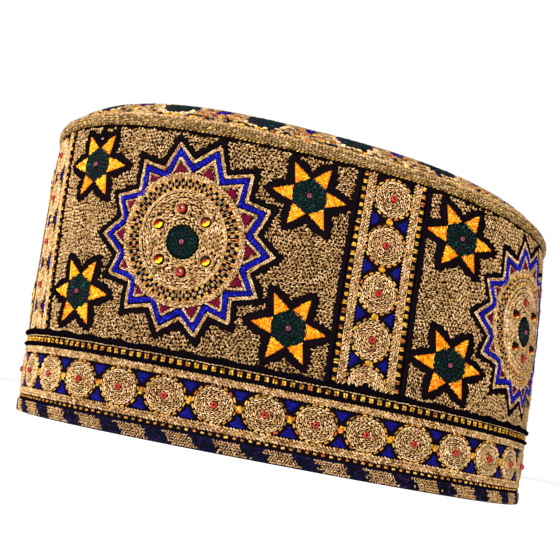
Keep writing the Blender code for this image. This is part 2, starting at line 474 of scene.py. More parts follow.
def inside(path, x, y):
    """Whether each place lies inside a closed path: a line to the right crosses it an odd number of times."""
    start = path
    end = np.roll(path, -1, axis=0)
    spans = (start[:, 1] > y[:, None]) != (end[:, 1] > y[:, None])
    rise = np.where(end[:, 1] == start[:, 1], 1, end[:, 1] - start[:, 1])
    crossing = start[:, 0] + (y[:, None] - start[:, 1]) * (end[:, 0] - start[:, 0]) / rise
    return (spans & (x[:, None] < crossing)).sum(axis=1) % 2 == 1


def satin(path, turn, thread, length=1.15, width=0.42, along=0.92, across=0.37, margin=0.1, **sizes):
    """Satin stitch: parallel stitches in staggered rows, kept where they lie inside a closed path."""
    reach = np.ptp(path, axis=0).max() + along
    middle = (path.min(axis=0) + path.max(axis=0)) / 2
    rows = np.arange(-reach, reach, across)
    places = np.arange(-reach, reach, along)
    stagger = (np.arange(rows.size) * 0.37 % 1.0) * along
    a = places[None, :] + stagger[:, None]
    b = np.repeat(rows[:, None], places.size, axis=1)
    x = (middle[0] + a * np.cos(turn) - b * np.sin(turn)).ravel()
    y = (middle[1] + a * np.sin(turn) + b * np.cos(turn)).ravel()
    kept = inside(path, x, y) & (distance(path, x, y) > margin)
    return stitches(x[kept], y[kept], turn, thread, length=length, width=width, **sizes)


def repeated(sheet, xs, ys, spins=0.0, stretch=1.0):
    """The sheet once at every place, each copy turned by its spin and stretched along u."""
    xs, ys, spins, stretch = np.broadcast_arrays(np.atleast_1d(np.asarray(xs, float)), ys, spins, stretch)
    copies = np.repeat(sheet[None], xs.size, axis=0)
    c = np.cos(spins)[:, None]
    s = np.sin(spins)[:, None]
    copies[..., X] = xs[:, None] + (sheet[:, X] * c - sheet[:, Y] * s) * stretch[:, None]
    copies[..., Y] = ys[:, None] + sheet[:, X] * s + sheet[:, Y] * c
    copies[..., TURN] += spins[:, None]
    return copies.reshape(-1, sheet.shape[1])


def shifted(path, x, y, stretch=1.0):
    return path * (stretch, 1.0) + (x, y)


def shades(codes):
    """A colour for each stitch: one of its thread's shades by share, a little lighter or darker each."""
    colours = np.zeros((codes.size, 3))
    for number, name in enumerate(THREAD_NAMES):
        rows = np.flatnonzero(codes == number)
        table = np.array(THREADS[name], float)
        picks = RNG.choice(len(table), rows.size, p=table[:, 0] / table[:, 0].sum())
        colours[rows] = linear(table[picks, 1:])
    return colours * RNG.normal(1.0, 0.10, (codes.size, 1)).clip(0.7, 1.35)


# Meshes


def make_object(name, points, groups):
    """A mesh object from points in millimetres and groups of faces, each with one number of corners."""
    mesh = bpy.data.meshes.new(name)
    loops = np.concatenate([group.ravel() for group in groups]).astype(np.int32)
    sizes = np.concatenate([np.full(len(group), group.shape[1]) for group in groups])
    starts = np.concatenate([[0], np.cumsum(sizes)[:-1]]).astype(np.int32)
    mesh.vertices.add(len(points))
    mesh.vertices.foreach_set("co", (points * MM).astype(np.float32).ravel())
    mesh.loops.add(len(loops))
    mesh.loops.foreach_set("vertex_index", loops)
    mesh.polygons.add(len(starts))
    mesh.polygons.foreach_set("loop_start", starts)
    mesh.polygons.foreach_set("use_smooth", np.full(len(starts), True))
    mesh.update(calc_edges=True)
    mesh.validate()
    obj = bpy.data.objects.new(name, mesh)
    bpy.context.scene.collection.objects.link(obj)
    return obj


def set_uv(mesh, name, uv):
    mesh.uv_layers.new(name=name).data.foreach_set("uv", uv.astype(np.float32).ravel())


def set_materials(obj, *materials):
    for material in materials:
        obj.data.materials.append(material)


def set_material_index(obj, index):
    obj.data.polygons.foreach_set("material_index", index.astype(np.int32))


# The six corners of a stitch, four at its foot and two along its ridge, and its faces by corner
GRAIN_CORNERS = np.array(
    [
        (-0.5, -0.5, 0.0),
        (0.5, -0.5, 0.0),
        (0.5, 0.5, 0.0),
        (-0.5, 0.5, 0.0),
        (-0.5 * RIDGE_SHARE, 0.0, 1.0),
        (0.5 * RIDGE_SHARE, 0.0, 1.0),
    ]
)
GRAIN_QUADS = np.array([(0, 1, 5, 4), (2, 3, 4, 5), (0, 3, 2, 1)])
GRAIN_ENDS = np.array([(1, 2, 5), (3, 0, 4)])


def grain_unfolding():
    """The upper faces seen from above, over a narrow strip with the lower face, both clear of the edges."""
    low, foot, high = 0.06, 0.24, 0.94
    top = np.stack(
        [
            low + (GRAIN_CORNERS[:, 0] + 0.5) * (high - low),
            foot + (GRAIN_CORNERS[:, 1] + 0.5) * (high - foot),
        ],
        axis=-1,
    )
    under = np.stack([top[:, 0], low + (GRAIN_CORNERS[:, 1] + 0.5) * 0.1], axis=-1)
    quads = np.stack([top[GRAIN_QUADS[0]], top[GRAIN_QUADS[1]], under[GRAIN_QUADS[2]]])
    return quads, top[GRAIN_ENDS]


def loosened(sheet, place=0.05, turn=0.13, size=0.10):
    """Hand work: every stitch a little off its place, its turn and its size."""
    loose = sheet.copy()
    count = len(sheet)
    loose[:, X] += RNG.normal(0, place, count)
    loose[:, Y] += RNG.normal(0, place, count)
    loose[:, TURN] += RNG.normal(0, turn, count)
    loose[:, LONG] *= RNG.normal(1, size, count).clip(0.7, 1.3)
    loose[:, WIDE] *= RNG.normal(1, size, count).clip(0.7, 1.3)
    loose[:, LIFT] += RNG.normal(0, 0.03, count)
    return loose


def stitch_piece(name, surface, sheet, material, slot, **looseness):
    """Lays a sheet on a surface as closed grains, each with its own colour and cell of the bake map."""
    sheet = loosened(sheet, **looseness)
    place, along, rise, out = frames(surface, sheet[:, X], sheet[:, Y])
    c = np.cos(sheet[:, TURN])[:, None]
    s = np.sin(sheet[:, TURN])[:, None]
    head = (along * c + rise * s) * sheet[:, LONG, None]
    side = (rise * c - along * s) * sheet[:, WIDE, None]
    up = out * (sheet[:, HIGH, None] + DEPTH)
    foot = place + out * (sheet[:, LIFT, None] - DEPTH)
    corners = (
        foot[:, None]
        + head[:, None] * GRAIN_CORNERS[:, 0, None]
        + side[:, None] * GRAIN_CORNERS[:, 1, None]
        + up[:, None] * GRAIN_CORNERS[:, 2, None]
    )
    count = len(sheet)
    first = np.arange(count)[:, None, None] * len(GRAIN_CORNERS)
    quads = (GRAIN_QUADS[None] + first).reshape(-1, 4)
    ends = (GRAIN_ENDS[None] + first).reshape(-1, 3)
    obj = make_object(name, corners.reshape(-1, 3), [quads, ends])
    mesh = obj.data
    colours = np.ones((count, len(GRAIN_CORNERS), 4))
    colours[..., :3] = shades(sheet[:, THREAD])[:, None]
    attribute = mesh.attributes.new("thread", "FLOAT_COLOR", "POINT")
    attribute.data.foreach_set("color", colours.astype(np.float32).ravel())
    quad_uv, end_uv = grain_unfolding()
    columns = math.ceil(math.sqrt(count))
    cell = np.stack([np.arange(count) % columns, np.arange(count) // columns], axis=-1)
    parts = []
    whole = []
    for template in (quad_uv, end_uv):
        own = np.repeat(template[None], count, axis=0)
        whole.append(own.reshape(-1, 2))
        parts.append(((own + cell[:, None, None]) / columns).reshape(-1, 2))
    set_uv(mesh, "stitch", np.concatenate(whole))
    set_uv(mesh, "OFBake", np.concatenate(parts))
    mesh.materials.append(material)
    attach(obj, "root")
    return obj


def grid_faces(rows, columns, wrap_rows, wrap_columns):
    """Quads between the points of a grid, closed on itself along the rows or the columns."""
    i = np.arange(rows if wrap_rows else rows - 1)[:, None]
    j = np.arange(columns if wrap_columns else columns - 1)[None, :]
    after_i = (i + 1) % rows
    after_j = (j + 1) % columns
    corners = (i * columns + j, i * columns + after_j, after_i * columns + after_j, after_i * columns + j)
    return np.stack(np.broadcast_arrays(*corners), axis=-1).reshape(-1, 4)


def outward(points, groups):
    """The groups of faces, turned over where the closed form that they make would be inside out."""
    fans = [group[:, [0, k, k + 1]] for group in groups for k in range(1, group.shape[1] - 1)]
    triangles = points[np.concatenate(fans)]
    volume = np.einsum("ij,ij->i", triangles[:, 0], np.cross(triangles[:, 1], triangles[:, 2])).sum()
    return groups if volume > 0 else [group[:, ::-1] for group in groups]


# A strip's section: sideways and upwards, over the top and back underneath
STRIP_SECTION = np.array([(-1, 0), (-0.7, 0.72), (0, 1), (0.7, 0.72), (1, 0), (0, -0.2)])
STRIP_ENDS = np.array([(0, 1, 2, 3), (0, 3, 4, 5)])


def dense(path, step, closed):
    """A path with extra points along its legs, its own corners kept."""
    ends = np.roll(path, -1, axis=0)
    starts = path
    if not closed:
        starts, ends = path[:-1], ends[:-1]
    lengths = np.hypot(*(ends - starts).T)
    parts = []
    for start, end, length in zip(starts, ends, lengths):
        count = max(1, math.ceil(length / step))
        share = np.arange(count)[:, None] / count
        parts.append(start + (end - start) * share)
    if not closed:
        parts.append(path[-1:])
    return np.vstack(parts)


def strip(surface, path, width, tall, base=-0.1, closed=False, step=1.6):
    """A rounded strip carried along a path, with mitred corners; returns its points and quads."""
    path = dense(np.asarray(path, float), step, closed)
    before = path - np.roll(path, 1, axis=0)
    after = np.roll(path, -1, axis=0) - path
    if not closed:
        before[0] = after[0]
        after[-1] = before[-1]
    across_before = unit(np.stack([-before[:, 1], before[:, 0]], axis=-1))
    across_after = unit(np.stack([-after[:, 1], after[:, 0]], axis=-1))
    mitre = unit(across_before + across_after)
    mitre /= np.maximum((mitre * across_after).sum(axis=1), 0.45)[:, None]
    u = path[:, 0, None] + mitre[:, 0, None] * STRIP_SECTION[:, 0] * width / 2
    v = path[:, 1, None] + mitre[:, 1, None] * STRIP_SECTION[:, 0] * width / 2
    out = np.broadcast_to(base + STRIP_SECTION[:, 1] * tall, u.shape)
    points = raised(surface, u, v, out).reshape(-1, 3)
    count, around = u.shape
    quads = grid_faces(count, around, closed, True)
    if not closed:
        last = (count - 1) * around
        quads = np.vstack([quads, STRIP_ENDS[:, ::-1], STRIP_ENDS + last])
    return points, quads


def ring_strip(surface, low, high, tall, base=-0.1, segments=240):
    """A rounded strip all round the cap between two heights; returns its points and quads."""
    arcs = np.arange(segments)[:, None] * PERIMETER / segments
    v = np.broadcast_to((low + high) / 2 + STRIP_SECTION[:, 0] * (high - low) / 2, (segments, 6))
    out = np.broadcast_to(base + STRIP_SECTION[:, 1] * tall, v.shape)
    points = raised(surface, np.broadcast_to(arcs, v.shape), v, out).reshape(-1, 3)
    return points, grid_faces(segments, 6, True, True)


def patch(surface, path, base=-0.15, tall=0.12, rings=(1.0, 0.85, 0.4), centre=None):
    """A thin closed patch inside a path, as rings drawn in towards its middle; its points and faces."""
    path = np.asarray(path, float)
    middle = path.mean(axis=0) if centre is None else np.asarray(centre, float)
    count = len(path)
    upper = [middle + (path - middle) * share for share in rings]
    u = np.concatenate([ring[:, 0] for ring in upper] + [[middle[0]]])
    v = np.concatenate([ring[:, 1] for ring in upper] + [[middle[1]]])
    lift = np.concatenate([np.full(count, base + tall * (0.0 if share == 1.0 else 1.0)) for share in rings])
    lift = np.append(lift, base + tall)
    top = raised(surface, u, v, lift)
    bottom = raised(surface, u, v, np.full(u.size, base - 0.1))
    points = np.vstack([top, bottom])
    shell = len(top)
    quads = grid_faces(len(rings), count, False, True)
    rim = np.arange(count)
    following = (rim + 1) % count
    last = (len(rings) - 1) * count
    fan = np.stack([last + rim, last + following, np.full(count, shell - 1)], axis=-1)
    side = np.stack([rim, rim + shell, following + shell, following], axis=-1)
    all_quads = np.vstack([quads, quads[:, ::-1] + shell, side])
    all_fans = np.vstack([fan, fan[:, ::-1] + shell])
    return points, all_quads, all_fans


def gather(parts):
    """Several forms as one: their points, and their faces by number of corners."""
    points, quads, fans = [], [], []
    offset = 0
    for part in parts:
        points.append(part[0])
        quads.append(part[1] + offset)
        if len(part) > 2:
            fans.append(part[2] + offset)
        offset += len(part[0])
    groups = [np.vstack(quads)]
    if fans:
        groups.append(np.vstack(fans))
    return np.vstack(points), groups


def solid_piece(name, parts, material):
    """One piece from several strips or patches, with its faces outwards."""
    points, groups = gather(parts)
    obj = make_object(name, points, outward(points, groups))
    set_materials(obj, material)
    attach(obj, "root")
    return obj


# Materials


# A colour mix node's sockets by number, because several of them share a name
MIX_FIRST = 6
MIX_SECOND = 7
MIX_RESULT = 2
# How fine the cloths' weave and the cords' ply are: 2 pi times the scale of a wave
WEAVE = 1600.0
PLY = 5200.0
# Cloths: name: (colour, the colour that it wanders to, roughness); colours as the eye sees them from 0 to 255
CLOTHS = {
    "dark_ground_cloth": ((30, 17, 10), (16, 9, 6), 0.85),
    "cotton_reverse": ((196, 176, 142), (176, 152, 116), 0.85),
    "navy_cloth": ((22, 20, 46), (14, 12, 30), 0.85),
    "black_ground": ((19, 8, 14), (6, 9, 11), 0.7),
    "orange_ground": ((214, 120, 14), (190, 92, 10), 0.6),
    "blue_ground": ((11, 9, 112), (8, 7, 80), 0.6),
    "maroon_ground": ((92, 5, 40), (64, 4, 30), 0.6),
    "green_ground": ((6, 22, 20), (4, 14, 14), 0.85),
}
# Beads: name: (colour, the deeper colour that it wanders to, roughness)
BEADS = {
    "red_bead": ((190, 17, 9), (104, 7, 5), 0.15),
    "pink_bead": ((146, 58, 72), (92, 24, 42), 0.15),
    # The holes' colour is painted shade: the dark where shade falls inside each bead's hole
    "bead_hole_shade": ((60, 14, 12), (26, 8, 8), 0.6),
}


def new_material(name, roughness, **sockets):
    material = bpy.data.materials.new(name)
    material.use_nodes = True
    nodes = material.node_tree.nodes
    shader = nodes["Principled BSDF"]
    shader.inputs["Roughness"].default_value = roughness
    for socket, value in sockets.items():
        shader.inputs[socket.replace("_", " ")].default_value = value
    return material, nodes, material.node_tree.links, shader


def add_node(nodes, kind, **values):
    """A new node with its values: an input's, named with _ for a space, or a setting's."""
    node = nodes.new(kind)
    for key, value in values.items():
        socket = key.replace("_", " ")
        if socket in node.inputs:
            node.inputs[socket].default_value = value
        else:
            setattr(node, key, value)
    return node


def add_noise(nodes, links, scale, detail):
    """Noise in the piece's own coordinates."""
    coordinates = add_node(nodes, "ShaderNodeTexCoord")
    noise = add_node(nodes, "ShaderNodeTexNoise", Scale=scale, Detail=detail)
    links.new(coordinates.outputs["Object"], noise.inputs["Vector"])
    return noise


def connect_clouds(nodes, links, shader, scale, detail, first, second):
    """A base colour that wanders between two near colours."""
    cloud = add_noise(nodes, links, scale, detail)
    mixed = add_node(nodes, "ShaderNodeMix", data_type="RGBA")
    mixed.inputs[MIX_FIRST].default_value = (*linear(first), 1)
    mixed.inputs[MIX_SECOND].default_value = (*linear(second), 1)
    links.new(cloud.outputs["Fac"], mixed.inputs["Factor"])
    links.new(mixed.outputs[MIX_RESULT], shader.inputs["Base Color"])


def connect_bump(nodes, links, shader, height, strength, span):
    bump = add_node(nodes, "ShaderNodeBump", Strength=strength, Distance=span)
    links.new(height, bump.inputs["Height"])
    links.new(bump.outputs["Normal"], shader.inputs["Normal"])


def thread_material(name, roughness):
    """Twisted thread: each stitch's own colour, with painted shade in the furrows of its twist and painted
    light on its ridges, and a fibre grain.
    """
    material, nodes, links, shader = new_material(
        name, roughness, Sheen_Weight=0.0, Sheen_Roughness=0.4, Specular_IOR_Level=0.12
    )
    colour = add_node(nodes, "ShaderNodeVertexColor", layer_name="thread")
    place = add_node(nodes, "ShaderNodeUVMap", uv_map="stitch")
    wave = {"wave_type": "BANDS", "bands_direction": "DIAGONAL", "Scale": 1.3, "Distortion": 0.6}
    twist = add_node(nodes, "ShaderNodeTexWave", **wave)
    links.new(place.outputs["UV"], twist.inputs["Vector"])
    fibre = add_noise(nodes, links, 2400.0, 2.0)
    # Painted shade and light of the twist: the colour times 0.78 in the furrows up to 1.12 on the ridges
    painted_light_and_shade = add_node(nodes, "ShaderNodeMapRange", To_Min=0.78, To_Max=1.12)
    links.new(twist.outputs["Fac"], painted_light_and_shade.inputs["Value"])
    mixed = add_node(nodes, "ShaderNodeMix", data_type="RGBA", blend_type="MULTIPLY", Factor=1.0)
    links.new(colour.outputs["Color"], mixed.inputs[MIX_FIRST])
    links.new(painted_light_and_shade.outputs["Result"], mixed.inputs[MIX_SECOND])
    links.new(mixed.outputs[MIX_RESULT], shader.inputs["Base Color"])
    total = add_node(nodes, "ShaderNodeMath", operation="ADD")
    links.new(twist.outputs["Fac"], total.inputs[0])
    links.new(fibre.outputs["Fac"], total.inputs[1])
    connect_bump(nodes, links, shader, total.outputs["Value"], 0.35, 0.00006)
    return material


def cloth_material(name, colour, other, roughness, scale=WEAVE):
    """Plain woven cloth: two crossed waves for warp and weft, and cloudy wear between two near colours."""
    material, nodes, links, shader = new_material(name, roughness, Specular_IOR_Level=0.0)
    coordinates = add_node(nodes, "ShaderNodeTexCoord")
    weave = add_node(nodes, "ShaderNodeMath", operation="MAXIMUM")
    for number, direction in enumerate(("X", "Z")):
        wave = {"wave_type": "BANDS", "bands_direction": direction, "Distortion": 1.5, "Detail_Scale": 2.0}
        threads = add_node(nodes, "ShaderNodeTexWave", Scale=scale / 6.28, **wave)
        links.new(coordinates.outputs["Object"], threads.inputs["Vector"])
        links.new(threads.outputs["Fac"], weave.inputs[number])
    connect_clouds(nodes, links, shader, 140.0, 4.0, colour, other)
    connect_bump(nodes, links, shader, weave.outputs["Value"], 0.5, 0.0001)
    return material


def bead_material(name, colour, deep, roughness):
    """Polished glass or resin, its colour a little uneven, under a clear coat."""
    material, nodes, links, shader = new_material(
        name, roughness, Coat_Weight=0.35, Coat_Roughness=0.04, Specular_IOR_Level=0.2
    )
    connect_clouds(nodes, links, shader, 700.0, 1.0, deep, colour)
    return material


def stone_material(name, middle, reach, steps, facets=0.0):
    """Polished stone over foil. A cabochon's colour goes by the way out from its axis. A cut stone's goes,
    facet by facet, by how far each lies and leans towards the lower right: painted shade to painted light and
    reflection."""
    gloss = {"Coat_Weight": 0.0 if facets else 0.2, "Specular_IOR_Level": 0.02 if facets else 0.2}
    material, nodes, links, shader = new_material(name, 0.2 if facets else 0.12, Coat_Roughness=0.03, **gloss)
    outwards = unit(np.array([middle[0], middle[1], 0.0]))
    # The cut stones' painted light and reflection come from this side, the lower right; their painted shade
    # lies on the upper left
    towards = unit(0.6 * np.cross((0.0, 0.0, 1.0), outwards) - (0.0, 0.0, 0.8))
    coordinates = add_node(nodes, "ShaderNodeTexCoord")
    place = add_node(nodes, "ShaderNodeVectorMath", operation="SUBTRACT")
    place.inputs[1].default_value = middle
    links.new(coordinates.outputs["Object"], place.inputs[0])
    ramp = add_node(nodes, "ShaderNodeValToRGB")
    if facets:
        lying_to_light = add_node(nodes, "ShaderNodeVectorMath", operation="DOT_PRODUCT")
        lying_to_light.inputs[1].default_value = towards * 0.32 / reach
        links.new(place.outputs["Vector"], lying_to_light.inputs[0])
        geometry = add_node(nodes, "ShaderNodeNewGeometry")
        leaning_to_light = add_node(nodes, "ShaderNodeVectorMath", operation="DOT_PRODUCT")
        leaning_to_light.inputs[1].default_value = towards * facets
        links.new(geometry.outputs["True Normal"], leaning_to_light.inputs[0])
        both = add_node(nodes, "ShaderNodeMath", operation="ADD")
        links.new(lying_to_light.outputs["Value"], both.inputs[0])
        links.new(leaning_to_light.outputs["Value"], both.inputs[1])
        centred = add_node(nodes, "ShaderNodeMath", operation="ADD")
        centred.inputs[1].default_value = 0.5
        links.new(both.outputs["Value"], centred.inputs[0])
        links.new(centred.outputs["Value"], ramp.inputs["Fac"])
    else:
        aside = add_node(nodes, "ShaderNodeVectorMath", operation="CROSS_PRODUCT")
        aside.inputs[1].default_value = outwards / reach
        links.new(place.outputs["Vector"], aside.inputs[0])
        length = add_node(nodes, "ShaderNodeVectorMath", operation="LENGTH")
        links.new(aside.outputs["Vector"], length.inputs[0])
        links.new(length.outputs["Value"], ramp.inputs["Fac"])
    elements = ramp.color_ramp.elements
    while len(elements) < len(steps):
        elements.new(0.5)
    for element, (position, colour) in zip(elements, steps):
        element.position = position
        element.color = (*linear(colour), 1)
    links.new(ramp.outputs["Color"], shader.inputs["Base Color"])
    return material


# Cloth and cords in place of the plain solids


def ring_shell(name, node, corners, materials, segments=180):
    """A closed ring: a section of (out, height) corners carried round the cap, a second material inside."""
    corners = np.asarray(corners, float)
    arcs = np.arange(segments) * PERIMETER / segments
    points = cap_point(arcs[:, None], corners[None, :, 1], corners[None, :, 0]).reshape(-1, 3)
    groups = outward(points, [grid_faces(segments, len(corners), True, True)])
    obj = make_object(name, points, groups)
    set_materials(obj, *materials)
    if len(materials) > 1:
        stands_out = np.tile(corners[:, 0], segments)[groups[0]].mean(axis=1)
        set_material_index(obj, stands_out < -CLOTH / 2)
    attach(obj, "root")
    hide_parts(node)
    return obj


def make_wall_cloth(ground, cotton):
    """The wall's cloth: its outer face just under the stitches, its inner face plain."""
    foot = HEM_HEIGHT + GAP
    heights = np.linspace(foot, WALL_HEIGHT, 14)
    outer = [(-0.28, height) for height in heights]
    inner = [(-CLOTH, height) for height in heights[::-1]]
    return ring_shell("wall_cloth", "side_wall", outer + inner, [ground, cotton])


def rounded_section(inner, outer, low, high, radius, steps=4):
    """A rectangle with round corners, as (out, height) corners."""
    corners = []
    places = (
        (outer - radius, low + radius, -90),
        (outer - radius, high - radius, 0),
        (inner + radius, high - radius, 90),
        (inner + radius, low + radius, 180),
    )
    for out, height, start in places:
        for k in range(steps + 1):
            angle = math.radians(start + 90 * k / steps)
            corners.append((out + radius * math.cos(angle), height + radius * math.sin(angle)))
    return corners


def make_hem_cloth(navy):
    section = rounded_section(-(CLOTH + HEM_PROUD), HEM_PROUD - 0.25, 0.0, HEM_HEIGHT, HEM_ROUND)
    return ring_shell("hem_cloth", "hem", section, [navy])


def make_roll_core(ground):
    middle = (ROLL_PROUD - ROLL_INSET) / 2
    radius = ROLL_HEIGHT / 2 - 0.2
    centre = WALL_HEIGHT + GAP + ROLL_HEIGHT / 2
    section = []
    for k in range(14):
        angle = 2 * math.pi * k / 14
        section.append((middle + radius * math.cos(angle), centre + radius * math.sin(angle)))
    core = ring_shell("roll_core", "edge_roll", section, [ground])
    return core


def make_crown_cloth(ground, cotton, segments=150, rows=20):
    """The crown's cloth: two domed faces, joined round the edge and closed at the middle."""
    arcs = np.arange(segments) * PERIMETER / segments
    way = CROWN_REACH * (np.linspace(0, 1, rows, endpoint=False) ** 1.15)
    outer = raised(crown, arcs[None, :], way[:, None], np.full((rows, segments), -0.28))
    inner_way = np.maximum(way, 0.01)
    inner = raised(crown, arcs[None, :], inner_way[:, None], np.full((rows, segments), -CROWN_CLOTH))
    floor_z = crown_point(arcs, CROWN_RHO[0], CROWN_START)[:, 2]
    outer[0, :, 2] = floor_z
    inner[:, :, 2] = np.maximum(inner[:, :, 2], floor_z[None, :])
    apex = np.array([crown_point(0.0, 0.0, DOME - 0.28), crown_point(0.0, 0.0, DOME - CROWN_CLOTH)])
    shell = rows * segments
    points = np.vstack([outer.reshape(-1, 3), inner.reshape(-1, 3), apex])
    quads = grid_faces(rows, segments, False, True)
    ring = np.arange(segments)
    following = (ring + 1) % segments
    joint = np.stack([ring, ring + shell, following + shell, following], axis=-1)
    last = (rows - 1) * segments
    fan = np.stack([last + ring, last + following, np.full(segments, 2 * shell)], axis=-1)
    under_apex = np.full(segments, 2 * shell + 1)
    under_fan = np.stack([last + following + shell, last + ring + shell, under_apex], axis=-1)
    groups = outward(points, [np.vstack([quads, quads[:, ::-1] + shell, joint]), np.vstack([fan, under_fan])])
    obj = make_object("crown_cloth", points, groups)
    set_materials(obj, ground, cotton)
    set_material_index(obj, np.concatenate([(group >= shell).all(axis=1) for group in groups]))
    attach(obj, "root")
    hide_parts("crown")
    return obj


def make_cord(name, node, low, high, tall, material, step=0.6, plies=6, pitch=1.9):
    """A couched two-ply cord: its half-round section swells and sinks as the plies twist along it."""
    count = round(PERIMETER / step)
    arcs = np.arange(count) * PERIMETER / count
    angle = np.linspace(-np.pi / 2, np.pi / 2, plies)
    twists = round(PERIMETER / pitch)
    wave = np.cos(2 * (np.pi * arcs[:, None] * twists / PERIMETER - angle[None, :]))
    radius = 1 + 0.13 * wave
    height = (low + high) / 2 + (high - low) / 2 * np.sin(angle)[None, :] * radius
    out = GAP + (tall - GAP) * np.cos(angle)[None, :] * radius - 0.35
    points = cap_point(arcs[:, None], height, out).reshape(-1, 3)
    obj = make_object(name, points, outward(points, [grid_faces(count, plies, True, True)]))
    set_materials(obj, material)
    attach(obj, "root")
    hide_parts(node)
    return obj


# Flat forms of the pattern


def zigzag(column):
    """A star line round the medallion, from the angles and one column of reaches of its table."""
    table = np.array(ZIGZAG)
    angle = np.radians(table[:, 0])
    reach = table[:, column]
    return np.stack([MEDALLION[0] + reach * np.sin(angle), MEDALLION[1] + reach * np.cos(angle)], axis=-1)


BLACK_ZIGZAG = zigzag(1)
BLUE_ZIGZAG = zigzag(2)
# Petals lie level and at 30 degrees either side of straight up, counted from the right
PETAL_TURNS = np.radians([0, 60, 120, 180, 240, 300])


def petal_side(start, tip, half_width, bulge, steps=6, crowding=1.0):
    """Half of a leaf along +Y: its width falls from the base to the tip, a little convex."""
    share = np.linspace(0, 1, steps) ** crowding
    width = half_width * (1 - share**bulge)
    return width, start + (tip - start) * share


def star_outline():
    """The black star's outer edge: six convex leaves with round ends that meet in valleys."""
    half = STAR_VALLEY * math.sin(math.pi / 6)
    foot = STAR_VALLEY * math.cos(math.pi / 6)
    width, height = petal_side(foot, STAR_TIP, half, STAR_BULGE, steps=8, crowding=0.75)
    left = np.clip(STAR_TIP - height, 0, STAR_BLUNT)
    width = np.maximum(width, np.sqrt(left * (2 * STAR_BLUNT - left)))
    leaf_x = np.concatenate([width, -width[-2::-1]])
    leaf_y = np.concatenate([height, height[-2::-1]])
    parts = []
    for angle in PETAL_TURNS:
        turn = angle - math.pi / 2
        c, s = math.cos(turn), math.sin(turn)
        leaf = np.stack([leaf_x * c - leaf_y * s, leaf_x * s + leaf_y * c], axis=-1)
        parts.append(leaf[:-1])
    return np.vstack(parts)


def star_petal(angle):
    """A pointed petal: a triangle with slightly convex sides, its base under the middle disc."""
    width, height = petal_side(PETAL_BASE, PETAL_TIP, PETAL_HALF_WIDTH, 1.1)
    x = np.concatenate([-width, width[-2::-1]])
    y = np.concatenate([height, height[-2::-1]])
    turn = angle - math.pi / 2
    c, s = math.cos(turn), math.sin(turn)
    return np.stack([x * c - y * s, x * s + y * c], axis=-1)


STAR_OUTLINE = star_outline()


def star_places():
    """Centres and stretches of all the stars."""
    places = []
    for panel in range(PANELS):
        for x, y, stretch in STARS.values():
            places.append((panel * PANEL_PITCH + PANEL_MIDDLE + x, y, stretch))
    return np.array(places)


STAR_PLACES = star_places()
ORIGINS = np.arange(PANELS) * PANEL_PITCH
ROSETTE_PITCH = PERIMETER / ROSETTES
ROSETTE_ARCS = ROSETTE_START + np.arange(ROSETTES) * ROSETTE_PITCH


def band_middle(band, height):
    """The arc of a band's middle line at a height: each band leans a little its own way."""
    share = (np.asarray(height, float) - PANEL_FOOT) / (WALL_HEIGHT - PANEL_FOOT)
    lean, power = BAND_LEANS[band]
    return band * PANEL_PITCH + BAND_FOOT_ARC + lean * np.maximum(share, 0) ** power


def band_scale(height):
    share = (np.asarray(height, float) - PANEL_FOOT) / (WALL_HEIGHT - PANEL_FOOT)
    return (BAND_FOOT_WIDTH + (BAND_TOP_WIDTH - BAND_FOOT_WIDTH) * share) / BAND_FOOT_WIDTH


def on_band(sheet, band):
    """Bends a sheet, or a path, that is drawn from a band's middle line on to the leaning band."""
    bent = sheet.copy()
    bent[:, X] = band_middle(band, sheet[:, Y]) + sheet[:, X] * band_scale(sheet[:, Y])
    return bent


def upright(x, low=PANEL_FOOT, high=TOP_LINE[0]):
    return np.array([(x, low), (x, (low + high) / 2), (x, high)])


def level(height):
    """A path once round the cap at a height, from the back to the back."""
    return np.array([(-PERIMETER / 2, height), (0.0, height), (PERIMETER / 2, height)])


def level_row(height, thread, pitch, turn=0.0, **sizes):
    """Single stitches round the cap at a height."""
    count = round(PERIMETER / pitch)
    arcs = np.arange(count) * PERIMETER / count
    return stitches(arcs, np.full(count, height), turn, thread, **sizes)


def level_chain(height, thread, pitch=LINK, **sizes):
    """Chain stitch all round the cap at a height."""
    count = round(PERIMETER / pitch)
    arcs = np.arange(count) * PERIMETER / count
    apart = sizes.pop("apart", APART)
    splay = sizes.pop("splay", SPLAY)
    halves = []
    for side in (1, -1):
        heights = np.full(count, height + side * apart)
        halves.append(stitches(arcs, heights, side * splay, thread, **sizes))
    return np.concatenate(halves)


def braid(path, width=2.0, pitch=0.95):
    """A plait: three rows of slanting strands, the middle one leaning the other way."""
    x, y, turn = walk(path, pitch)
    rows = []
    for side in (-1, 0, 1):
        sideways = side * width / 3
        slant = 0.62 if side == 0 else -0.62
        shift = 0.5 * pitch if side == 0 else 0.0
        rows.append(
            stitches(
                x - np.sin(turn) * sideways + np.cos(turn) * shift,
                y + np.cos(turn) * sideways + np.sin(turn) * shift,
                turn + slant,
                "gold",
                length=1.12,
                width=0.5,
                tall=0.34 if side == 0 else 0.28,
            )
        )
    return np.concatenate(rows)


def square(x, y, turn, thread, side=1.35, strands=3, **sizes):
    """Little satin squares: strands side by side at each place, across the direction given by turn."""
    x, y, turn = np.broadcast_arrays(np.asarray(x, float), y, turn)
    rows = []
    for k in range(strands):
        shift = ((k + 0.5) / strands - 0.5) * side
        rows.append(
            stitches(
                x + np.cos(turn) * shift,
                y + np.sin(turn) * shift,
                turn + np.pi / 2,
                thread,
                width=side / strands * 1.08,
                **sizes,
            )
        )
    return np.concatenate(rows)


# Stitched motifs


